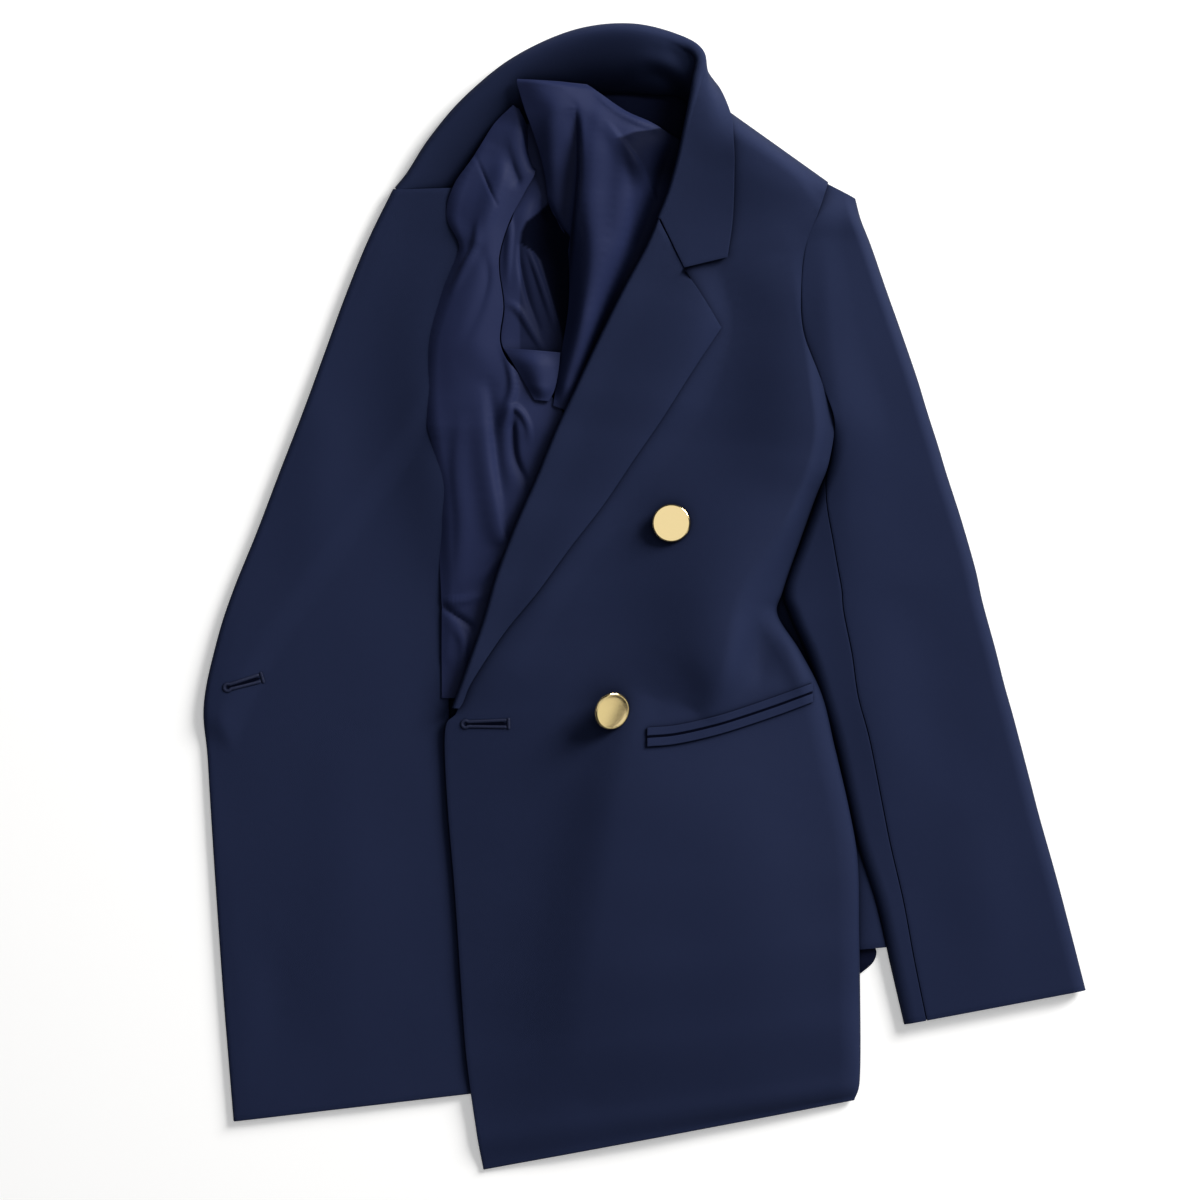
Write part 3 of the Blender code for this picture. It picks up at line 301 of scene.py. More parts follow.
class Panel:
    """A cloth panel between a left and a right edge, with the height of its underside."""

    def __init__(self, edges: Rows, heights: Rows, rim: Rim | None = None,
                 creases: Sequence[Crease] = (), ripple: Ripple = Ripple()) -> None:
        """Keep the panel's tables.

        Args:
            edges: (left x, left y, right x, right y) for each station.
            heights: (station, heights at even steps from left to right).
            rim: gives the edge's height and the share of the full height near it.
            creases: ridges and troughs laid in.
            ripple: slow unevenness of the panel.
        """
        self.edges = Curve(edges)
        self.heights = Heights(heights)
        self.rim = rim
        self.creases = tuple(creases)
        self.ripple = ripple

    def plan(self, s: Array, t: Array) -> tuple[Array, Array]:
        """Point in plan at station s, share t across."""
        lx, ly, rx, ry = self.edges.at(s)
        return tuple(between((lx, ly), (rx, ry), t))

    def width(self, s: Array) -> Array:
        """Distance between the edges at station s."""
        lx, ly, rx, ry = self.edges.at(s)
        return np.hypot(rx - lx, ry - ly)

    def height(self, s: Array, t: Array) -> Array:
        """Height of the underside.

        Args:
            s: station.
            t: share across.

        Returns:
            The height.
        """
        x, y = self.plan(s, t)
        z = raised(self.heights.at(s, t), self.creases, x, y)
        if self.ripple.height:
            z = z + self.ripple.lift(x, y)
        if self.rim:
            edge, share = self.rim(s, t, self.width(s))
            z = edge + (z - edge) * share
        return z

    def place(self, s: Array, t: Array) -> Point:
        """Point on the underside."""
        x, y = self.plan(s, t)
        return x, y, self.height(s, t)

    def upright(self, s: Array, t: Array) -> Array:
        """How upright the normal of the cloth stands, from 0 to 1.

        Args:
            s: station.
            t: share across.

        Returns:
            1 where the cloth lies level, 0 where it stands.
        """
        s0, s1 = np.maximum(s - NUDGE, 0.0), np.minimum(s + NUDGE, self.edges.last)
        t0, t1 = np.maximum(t - NUDGE, 0.0), np.minimum(t + NUDGE, 1.0)
        a, b, c, d = self.place(s, t1), self.place(s, t0), self.place(s1, t), self.place(s0, t)
        u = np.stack([p - q for p, q in zip(a, b)])
        v = np.stack([p - q for p, q in zip(c, d)])
        n = np.cross(u, v, axis=0)
        return np.abs(n[2]) / np.maximum(np.linalg.norm(n, axis=0), 1e-9)

    def locate(self, x: Array, y: Array, rounds: int = 10) -> tuple[Array, Array]:
        """Station and share across of points given in plan.

        Args:
            x: places across.
            y: places along.
            rounds: how often the guess is improved.

        Returns:
            Stations and shares across; a share lies outside 0 to 1 off the panel.
        """
        x, y = np.asarray(x, float), np.asarray(y, float)
        best = np.full(x.shape, 1e18)
        s, t = np.zeros(x.shape), np.full(x.shape, 0.5)
        for i in range(self.edges.last + 1):
            for share in (0.0, 0.25, 0.5, 0.75, 1.0):
                px, py = self.plan(np.array(float(i)), share)
                away = (px - x) ** 2 + (py - y) ** 2
                s, t = np.where(away < best, float(i), s), np.where(away < best, share, t)
                best = np.minimum(best, away)
        for _ in range(rounds):
            px, py = self.plan(s, t)
            step = np.where(s < self.edges.last - NUDGE, NUDGE, -NUDGE)
            sx, sy = self.plan(s + step, t)
            ax, ay = (sx - px) / step, (sy - py) / step
            tx, ty = self.plan(s, t + NUDGE)
            bx, by = (tx - px) / NUDGE, (ty - py) / NUDGE
            det = ax * by - ay * bx
            ex, ey = x - px, y - py
            s = np.clip(s + (ex * by - ey * bx) / det, 0.0, self.edges.last)
            t = t + (ax * ey - ay * ex) / det
        return s, t

    def under(self, x: Array, y: Array) -> Array:
        """Height of the underside over (x, y)."""
        s, t = self.locate(x, y)
        return self.height(s, np.clip(t, 0.0, 1.0))

    def top(self, x: Array, y: Array) -> Array:
        """Height of the upper face of the cloth over (x, y).

        Args:
            x: places across.
            y: places along.

        Returns:
            The height.
        """
        s, t = self.locate(x, y)
        t = np.clip(t, 0.0, 1.0)
        return self.height(s, t) + CLOTH / np.maximum(self.upright(s, t), 0.5)


# ------------ shader groups

class Nodes:
    """Adds nodes to a tree and joins them with short calls."""

    def __init__(self, tree: bpy.types.NodeTree) -> None:
        """Keep the tree."""
        self.tree = tree

    def add(self, kind: str, inputs: dict | None = None, **settings: object) -> bpy.types.Node:
        """Add a node.

        Args:
            kind: the node's type without its ShaderNode prefix.
            inputs: values or output sockets for its inputs, by name or index.
            settings: the node's own settings.

        Returns:
            The node.
        """
        node = self.tree.nodes.new(kind if kind.startswith("NodeGroup") else "ShaderNode" + kind)
        for key, value in settings.items():
            setattr(node, key, value)
        self.fill(node, inputs or {})
        return node

    def fill(self, node: bpy.types.Node, inputs: dict) -> None:
        """Set a node's inputs, by name or index, to values or output sockets."""
        for key, value in inputs.items():
            self.set(node.inputs[key], value)

    def set(self, socket_in: bpy.types.NodeSocket, value: object) -> None:
        """Join an output socket to an input, or set the input's value.

        Args:
            socket_in: the input.
            value: an output socket or a plain value.
        """
        if isinstance(value, bpy.types.NodeSocket):
            self.tree.links.new(value, socket_in)
        else:
            socket_in.default_value = value

    def math(self, operation: str, *values: object) -> bpy.types.NodeSocket:
        """Result of a Math node over values or sockets."""
        return self.add("Math", dict(enumerate(values)), operation=operation).outputs[0]

    def mix(self, share: object, a: object, b: object) -> bpy.types.NodeSocket:
        """Colour between a and b."""
        return self.add("Mix", {0: share, 6: a, 7: b}, data_type="RGBA").outputs[2]


Wire = Callable[[Nodes, bpy.types.Node], Sequence[bpy.types.NodeSocket]]


def shader_group(name: str, inputs: dict[str, float | None], outputs: Sequence[str],
                 wire: Wire) -> bpy.types.NodeTree:
    """Shader group, built once.

    Args:
        name: the group's name.
        inputs: starting value of each input, None for a vector.
        outputs: names of its outputs, which are values.
        wire: adds its nodes behind its input node and gives the sockets that leave it.

    Returns:
        The group.
    """
    if name in bpy.data.node_groups:
        return bpy.data.node_groups[name]
    group = bpy.data.node_groups.new(name, "ShaderNodeTree")
    for label, value in inputs.items():
        kind = "NodeSocketVector" if value is None else "NodeSocketFloat"
        made = group.interface.new_socket(name=label, in_out="INPUT", socket_type=kind)
        if value is not None:
            made.default_value = value
    for label in outputs:
        group.interface.new_socket(name=label, in_out="OUTPUT", socket_type="NodeSocketFloat")
    n = Nodes(group)
    given, out = group.nodes.new("NodeGroupInput"), group.nodes.new("NodeGroupOutput")
    n.fill(out, dict(zip(outputs, wire(n, given))))
    return group


def wire_threads(n: Nodes, given: bpy.types.Node) -> Sequence[bpy.types.NodeSocket]:
    """Woven threads: their height, their painted shade (dark between the threads, light on them) and
    the slow mottle of the dye.

    Args:
        n: the group's nodes.
        given: its input node.

    Returns:
        Height, painted thread shade and mottle.
    """
    place = n.add("SeparateXYZ", {0: given.outputs["Place"]})
    u = n.math("MULTIPLY", place.outputs[0], given.outputs["Threads"])
    v = n.math("MULTIPLY", place.outputs[1], given.outputs["Threads"])
    slubs = n.add("TexNoise", {"Vector": given.outputs["Place"], "Scale": 420.0, "Detail": 2.0})
    bend = n.math("MULTIPLY", slubs.outputs["Fac"], SLUB_BEND)
    line = n.math("ADD", n.math("ADD", n.math("MULTIPLY", u, given.outputs["Twill"]), v), bend)
    twill = n.math("SINE", n.math("MULTIPLY", line, 2 * math.pi))
    weft = n.math("SINE", n.math("MULTIPLY", v, 4 * math.pi))
    warp = n.math("SINE", n.math("MULTIPLY", u, 4 * math.pi))
    cross = n.math("MULTIPLY", weft, warp)
    height = n.math("ADD", n.math("MULTIPLY", twill, TWILL_SHARE),
                    n.math("MULTIPLY", cross, 1.0 - TWILL_SHARE))
    # painted shade and highlight of the weave: darker where the threads lie low, lighter on their
    # crests
    shade = n.math("MULTIPLY_ADD", height, 0.5, 0.5)
    cloud = n.add("TexNoise", {"Vector": given.outputs["Place"], "Scale": 9.0, "Detail": 5.0,
                               "Roughness": 0.55})
    return height, shade, cloud.outputs["Fac"]


def wire_painted_crease_shade(n: Nodes, given: bpy.types.Node) -> Sequence[bpy.types.NodeSocket]:
    """Painted crease shade from ambient occlusion: 1 on the open surface, less in creases and under
    edges.
    """
    near = n.add("AmbientOcclusion", {"Distance": given.outputs["Reach"]}, samples=8)
    return [n.math("POWER", near.outputs["AO"], given.outputs["Depth"])]


@dataclass(frozen=True)
class Finish:
    """A finish: the record's slot it stands for, its colours and its gloss."""

    name: str
    slot: str
    colour: tuple[float, float, float]
    roughness: float

    def tint(self, share: float = 1.0) -> tuple[float, ...]:
        """The colour at a share of its strength."""
        return (*(channel * share for channel in self.colour), 1.0)

    def start(self) -> tuple[bpy.types.Material, Nodes, bpy.types.Node]:
        """New material with its node helper and its shader.

        Returns:
            The material, its node helper and its shader.
        """
        mat = bpy.data.materials.new(self.name)
        mat.use_nodes = True
        n, shader = Nodes(mat.node_tree), mat.node_tree.nodes["Principled BSDF"]
        n.fill(shader, {"Roughness": self.roughness, "Base Color": self.tint()})
        return mat, n, shader

    def material(self) -> bpy.types.Material:
        """The finish's material, built once."""
        return bpy.data.materials.get(self.name) or self.build()

    def build(self) -> bpy.types.Material:
        """Build the material."""
        return self.start()[0]


@dataclass(frozen=True)
class PaperFinish(Finish):
    """Studio paper with a light of its own, which keeps its soft shadows pale."""

    glow: float = 0.30

    def build(self) -> bpy.types.Material:
        """Build the paper's material.

        Returns:
            The material.
        """
        mat, n, shader = self.start()
        n.fill(shader, {"Emission Color": WHITE, "Emission Strength": self.glow})
        return mat


@dataclass(frozen=True)
class WovenFinish(Finish):
    """Woven cloth, with its threads, slow mottle, lint and sheen, and painted shade in creases and in
    places the attribute marks.
    """

    threads: float = 1500.0     # a metre
    twill: float = 1.0          # slope of the twill line
    relief: float = 0.00006     # height of the threads, in metres
    mottle: float = 0.10        # how much the dye's shade varies
    sheen: float = 0.02
    sheen_tint: tuple[float, ...] = (0.35, 0.42, 0.75, 1.0)
    specular: float = 0.12
    reach: float = 0.03         # how far round a place the painted crease shade reaches, in metres
    depth: float = 1.8          # how strongly that painted shade darkens
    low: float = 0.78           # share of the colour in the painted shade between the threads
    high: float = 1.18          # share of the colour in the painted highlight on the threads
    dark: float = 0.08          # share of the colour left in full painted shade
    hollow: float = 0.95        # how much the attribute's painted shade darkens the colour
    uneven: float = 0.12        # how much the roughness varies
    bump: float = 0.6
    fuzz: float = 0.4           # roughness of the sheen

    def build(self) -> bpy.types.Material:
        """Build the cloth's material.

        Returns:
            The material.
        """
        mat, n, shader = self.start()
        coords = n.add("TexCoord")
        weave = shader_group("woven_threads", {"Place": None, "Threads": 1500.0, "Twill": 1.0},
                             ("Height", "Shade", "Mottle"), wire_threads)
        threads = n.add("Group", node_tree=weave)
        n.fill(threads, {"Place": coords.outputs["UV"], "Threads": self.threads, "Twill": self.twill})
        # the colour mixes the painted thread shade with the dye's own mottle
        shade = n.math("ADD", n.math("MULTIPLY", threads.outputs["Shade"], 1 - self.mottle),
                       n.math("MULTIPLY", threads.outputs["Mottle"], self.mottle))
        # painted shade: creases (ambient occlusion) and places the attribute marks darken the colour
        # towards the dark share and weaken the gloss
        crease_shade_tree = shader_group("crease_shade", {"Reach": 0.03, "Depth": 2.0}, ("Open",),
                               wire_painted_crease_shade)
        crease_shade = n.add("Group", node_tree=crease_shade_tree)
        n.fill(crease_shade, {"Reach": self.reach, "Depth": self.depth})
        hollow = n.add("Attribute", attribute_name="painted_shade")
        lit = n.math("MULTIPLY", crease_shade.outputs["Open"],
                     n.math("MULTIPLY_ADD", hollow.outputs["Fac"], -self.hollow, 1.0))
        cloth = n.mix(shade, self.tint(self.low), self.tint(self.high))
        # painted shade mixed into the colour
        colour = n.mix(lit, self.tint(self.dark), cloth)
        rough = n.math("MULTIPLY_ADD", threads.outputs["Mottle"], self.uneven,
                       self.roughness - self.uneven / 2)
        bump = n.add("Bump", {"Height": threads.outputs["Height"], "Distance": self.relief,
                              "Strength": self.bump})
        n.fill(shader, {"Base Color": colour, "Roughness": rough, "Normal": bump.outputs[0],
                        "Sheen Weight": self.sheen, "Sheen Roughness": self.fuzz,
                        "Sheen Tint": self.sheen_tint,
                        "Specular IOR Level": n.math("MULTIPLY", lit, self.specular)})
        return mat


@dataclass(frozen=True)
class MetalFinish(Finish):
    """Plated metal with fine turning marks and small handling scratches."""

    marks: float = 900.0        # scale of the marks
    worn: float = 0.9           # share of the colour in the marks
    uneven: float = 0.14        # how much the roughness varies
    relief: float = 0.00003     # height of the marks, in metres
    bump: float = 0.3

    def build(self) -> bpy.types.Material:
        """Build the metal's material.

        Returns:
            The material.
        """
        mat, n, shader = self.start()
        coords = n.add("TexCoord")
        marks = n.add("TexNoise", {"Vector": coords.outputs["Object"], "Scale": self.marks,
                                   "Detail": 3.0}).outputs["Fac"]
        colour = n.mix(marks, self.tint(self.worn), self.tint())
        rough = n.math("MULTIPLY_ADD", marks, self.uneven, self.roughness - self.uneven / 2)
        bump = n.add("Bump", {"Height": marks, "Distance": self.relief, "Strength": self.bump})
        n.fill(shader, {"Metallic": 1.0, "Base Color": colour, "Roughness": rough,
                        "Normal": bump.outputs[0]})
        return mat


SUITING = WovenFinish("navy_twill", "navy_suiting", (0.0120, 0.0190, 0.0560), 0.80)
SATIN = WovenFinish("navy_satin", "navy_lining", (0.0165, 0.0230, 0.0700), 0.54, threads=2600.0,
                    twill=0.3, relief=0.00002, mottle=0.08, sheen=0.0, specular=0.07, depth=0.75)
THREAD = WovenFinish("navy_silk_thread", "navy_suiting", (0.0120, 0.0175, 0.0500), 0.6,
                     threads=2200.0, relief=0.00003, specular=0.2, depth=1.2)
GOLD = MetalFinish("pale_gold", "gold_metal", (0.90, 0.71, 0.36), 0.15)
FLOOR = PaperFinish("pale_floor", "", (0.95, 0.95, 0.95), 0.9)


# ------------ making pieces

class Held(Enum):
    """How a cloth piece is held."""

    LAID = "laid"
    FOLDED = "folded"


@dataclass(frozen=True)
class Cut:
    """The flat piece that was cut: width, length and area in metres, and how it now lies."""

    width: float
    length: float
    area: float | None = None
    held: Held = Held.LAID
    rests_on: tuple[str, ...] = ("floor",)


def stations(knots: Sequence[float], step: float) -> Array:
    """Even stations about step apart that include all the knots.

    Args:
        knots: stations that must be there.
        step: how far apart the others lie.

    Returns:
        The stations.
    """
    out = [float(knots[0])]
    for a, b in zip(knots, knots[1:]):
        n = max(1, round((b - a) / step))
        out += [a + (b - a) * k / n for k in range(1, n + 1)]
    return np.array(out)


def shares(*runs: tuple[float, float, int]) -> Array:
    """Shares across, from runs of (start, end, spaces) that follow each other."""
    return np.concatenate([[runs[0][0]], *(np.linspace(a, b, n + 1)[1:] for a, b, n in runs)])


def lengths(points: Array) -> Array:
    """Distance walked along each row of points (rows, columns, 3)."""
    steps = np.linalg.norm(np.diff(points, axis=1), axis=2)
    return np.concatenate([np.zeros((len(points), 1)), np.cumsum(steps, axis=1)], axis=1)


def grid(points: Array, around: bool = False, painted_shade: Array | None = None) -> bmesh.types.BMesh:
    """Grid of cloth with a UV map of its own lengths in metres.

    Args:
        points: (rows, columns, 3) in millimetres.
        around: joins the first and last column.
        painted_shade: how much painted shade each point gets, from 0 to 1.

    Returns:
        The bmesh, in metres.
    """
    rows, cols = points.shape[:2]
    metres = points * MM
    u = lengths(metres)
    u = u - u[:, -1:] / 2
    v = lengths(metres.transpose(1, 0, 2)).transpose(1, 0)
    v = v.mean(axis=1, keepdims=True) + 0 * u
    bm = bmesh.new()
    # painted shade, for the cloth's material to darken its colour with
    cloth = bm.loops.layers.uv.new("cloth")
    dark = bm.verts.layers.float.new("painted_shade")
    bmesh.ops.create_grid(bm, x_segments=cols - 1, y_segments=rows - 1, size=1.0)
    keys = {}
    for vert in bm.verts:
        key = (round((vert.co.y + 1) / 2 * (rows - 1)), round((vert.co.x + 1) / 2 * (cols - 1)))
        keys[vert] = key
        vert.co = metres[key]
        vert[dark] = 0.0 if painted_shade is None else float(painted_shade[key])
    for face in bm.faces:
        for loop in face.loops:
            key = keys[loop.vert]
            loop[cloth].uv = (u[key], v[key])
    if around:
        bmesh.ops.remove_doubles(bm, verts=bm.verts, dist=0.000005)
    return bm


def close(bm: bmesh.types.BMesh) -> bmesh.types.BMesh:
    """Fill the open ends of a tube and turn its faces outwards.

    Args:
        bm: the tube.

    Returns:
        The same bmesh.
    """
    bmesh.ops.holes_fill(bm, edges=[edge for edge in bm.edges if edge.is_boundary])
    bmesh.ops.recalc_face_normals(bm, faces=bm.faces)
    return bm


def add_object(name: str, data: bpy.types.ID) -> bpy.types.Object:
    """New object in the scene.

    Args:
        name: its name.
        data: its mesh, light or camera.

    Returns:
        The object.
    """
    obj = bpy.data.objects.new(name, data)
    bpy.context.scene.collection.objects.link(obj)
    return obj


def add_mesh(name: str, bm: bmesh.types.BMesh, finish: Finish) -> bpy.types.Object:
    """New mesh object from bm, which is freed.

    Args:
        name: its name.
        bm: its mesh; freed here.
        finish: what it is made of.

    Returns:
        The object.
    """
    mesh = bpy.data.meshes.new(name)
    bm.to_mesh(mesh)
    bm.free()
    mesh.materials.append(finish.material())
    return add_object(name, mesh)


def piece(name: str, bm: bmesh.types.BMesh, finish: Finish,
          node: str | None = None) -> bpy.types.Object:
    """Named object made from bm, riding on the garment.

    Args:
        name: the piece's name.
        bm: its mesh, in place; freed here.
        finish: what it is made of.
        node: the solid it stands for, if any.

    Returns:
        The object.
    """
    obj = add_mesh(name, bm, finish)
    obj.data.shade_smooth()
    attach(obj, "root")
    if node:
        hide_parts(node)
    LOG.info("%s: %d faces", name, len(obj.data.polygons))
    return obj


def sew(node: str, points: Array, finish: Finish, wall: float, side: float = 1.0,
        around: bool = False, edge: float = 0.45, painted_shade: Array | None = None) -> bpy.types.Object:
    """Cloth piece with a wall and rounded edges.

    Args:
        node: the solid it stands for.
        points: (rows, columns, 3) of its first face, in millimetres.
        finish: what it is made of.
        wall: thickness, in millimetres.
        side: 1 grows the wall along the normals and -1 against them.
        around: joins the first and last column.
        edge: radius of its rounded edges, in millimetres.
        painted_shade: how much painted shade each point gets, from 0 to 1.

    Returns:
        The object.
    """
    obj = piece(f"{node}_cloth", grid(points, around, painted_shade), finish, node)
    shell = obj.modifiers.new("wall", "SOLIDIFY")
    shell.thickness = wall * MM
    shell.offset = side
    shell.use_rim = True
    soft = obj.modifiers.new("edge", "BEVEL")
    soft.width = edge * MM
    soft.segments = 2
    soft.limit_method = "ANGLE"
    soft.angle_limit = math.radians(FLAT_ANGLE)
    soft.use_clamp_overlap = True
    return obj


def surface(place: Place, rows: Array, cols: Array) -> Array:
    """Points of place at every station in rows and share in cols.

    Args:
        place: gives x, y, z at a station and a share across.
        rows: stations.
        cols: shares across.

    Returns:
        (rows, columns, 3) in millimetres.
    """
    s, t = np.meshgrid(rows, cols, indexing="ij")
    x, y, z = place(s.ravel(), t.ravel())
    return np.stack([x, y, z], axis=-1).reshape(len(rows), len(cols), 3)


def shade_strip(name: str, line: Array, half: Array, top: Height, lift: float) -> None:
    """Painted shade of an opening between two stitched edges: a thin dark strip laid on the cloth
    along a line.

    Args:
        name: the piece's name.
        line: (points, 2) along its middle.
        half: half its width at each point.
        top: height of the cloth's upper face over (x, y).
        lift: how far over the cloth it lies, in millimetres.
    """
    along = np.gradient(line, axis=0)
    along /= np.linalg.norm(along, axis=1, keepdims=True)
    across = np.stack([-along[:, 1], along[:, 0]], axis=1)
    spread = half[:, None, None] * SPAN[None, :, None]
    x, y = np.moveaxis(line[:, None] + across[:, None] * spread, -1, 0)
    points = np.stack([x, y, top(x, y) + lift], axis=-1)
    # the strip lies in full painted shade
    piece(name, grid(points, painted_shade=np.ones(x.shape)), SATIN)


@dataclass
class Buttonhole:
    """Keyhole buttonhole worked in thread: a purled edge round a slit, an eye and a bar tack."""

    name: str
    eye: tuple[float, float]
    end: tuple[float, float]
    top: Height
    eye_r: float = 1.1          # radius of the eye
    eye_turn: tuple[float, float] = (42.0, 318.0)       # where the purl goes round the eye, degrees
    half: float = 2.4           # from the slit's middle to the middle of its purl
    slit: float = 1.1           # half the slit's width where it gapes most
    eye_gape: float = 0.9       # half the opening's width in the eye
    eye_share: float = 0.1      # part of the opening that is the eye
    slit_share: tuple[float, float] = (0.13, 1.01)      # part of the opening that is the slit
    opens: float = 0.4          # part of the opening over which the slit opens and closes
    slit_lift: float = 0.3      # how far over the cloth the opening's strip of painted shade lies
    bead: float = 1.3           # half the purl's width
    lift: float = 0.2           # height of the purl's middle
    rise: float = 0.4           # height of the purl for its half width
    thin: float = 0.78          # share of the purl's width between stitches
    stitch: float = 0.9         # length of the purl taken by a stitch
    tack: float = 4.2           # half the bar tack's length
    tack_gap: float = 1.5       # from the slit's end to the bar tack
    blunt: float = 0.02         # part of its rounded end that the purl leaves out
    least: float = 0.05         # half the opening's width at its ends

    def axes(self) -> tuple[Array, Array, Array, Array]:
        """Eye and end of the slit, and unit steps along and across it.

        Returns:
            Eye, end, and the steps along and across.
        """
        eye, end = np.array(self.eye), np.array(self.end)
        along = (end - eye) / np.linalg.norm(end - eye)
        return eye, end, along, np.array([-along[1], along[0]])

    def outline(self) -> Array:
        """Points of the purl's line, from the slit's end round the eye and back.

        Returns:
            (points, 2) in millimetres.
        """
        eye, end, along, across = self.axes()
        reach = self.eye_r + self.bead
        turn = np.radians(np.linspace(*self.eye_turn, 40))[:, None]
        eyelet = eye + along * np.cos(turn) * reach + across * np.sin(turn) * reach
        rows = [end + across * self.half, *eyelet, end - across * self.half]
        return Curve(rows, (1, len(rows) - 2)).at(np.linspace(0, len(rows) - 1, 40 * len(rows))).T

    def tube(self, line: Array, name: str) -> None:
        """Make a purled bead along a line on the cloth.

        Args:
            line: (points, 2) along its middle.
            name: the piece's name.
        """
        walked = np.concatenate([[0.0], np.cumsum(np.linalg.norm(np.diff(line, axis=0), axis=1))])
        even = np.linspace(0, walked[-1], max(12, round(walked[-1] / self.stitch * 5)))
        x, y = np.interp(even, walked, line[:, 0]), np.interp(even, walked, line[:, 1])
        dx, dy = np.gradient(x), np.gradient(y)
        size = np.hypot(dx, dy)
        swell = self.thin + (1.0 - self.thin) * np.abs(np.sin(math.pi * even / self.stitch))
        ends = quarter(np.minimum(even, even[-1] - even) / self.bead + self.blunt)
        radius = (self.bead * swell * ends)[:, None]
        turn = np.linspace(0, 2 * math.pi, 9)[None, :]
        px = x[:, None] - (dy / size)[:, None] * np.cos(turn) * radius
        py = y[:, None] + (dx / size)[:, None] * np.cos(turn) * radius
        pz = self.top(x, y)[:, None] + self.lift + np.sin(turn) * radius * self.rise
        piece(name, close(grid(np.stack([px, py, pz], axis=-1), around=True)), THREAD)

    def opening(self, share: Array) -> Array:
        """Half the opening's width at a share of the way from the eye to the slit's end.

        Args:
            share: 0 at the eye, 1 at the slit's end.

        Returns:
            Half widths in millimetres.
        """
        start, end = self.slit_share
        slit = self.slit * quarter((share - start) / self.opens) * quarter((end - share) / self.opens)
        round_eye = quarter(2 * share / self.eye_share) * quarter(2 * (1 - share / self.eye_share))
        gape = np.where(share < self.eye_share, self.eye_gape * round_eye, slit)
        return np.maximum(gape, self.least)

    def build(self) -> None:
        """Make the purl, the bar tack and the opening, a strip of painted shade."""
        self.tube(self.outline(), f"{self.name}_purl")
        eye, end, along, across = self.axes()
        bar, reach = end + along * self.tack_gap, across * self.tack
        self.tube(np.linspace(bar - reach, bar + reach, 20), f"{self.name}_tack")
        share = np.linspace(0, 1, 60)
        line = eye + (end - eye) * share[:, None]
        # the opening is a strip of painted shade
        shade_strip(f"{self.name}_slit", line, self.opening(share), self.top, self.slit_lift)


# ------------ left front and its lapel

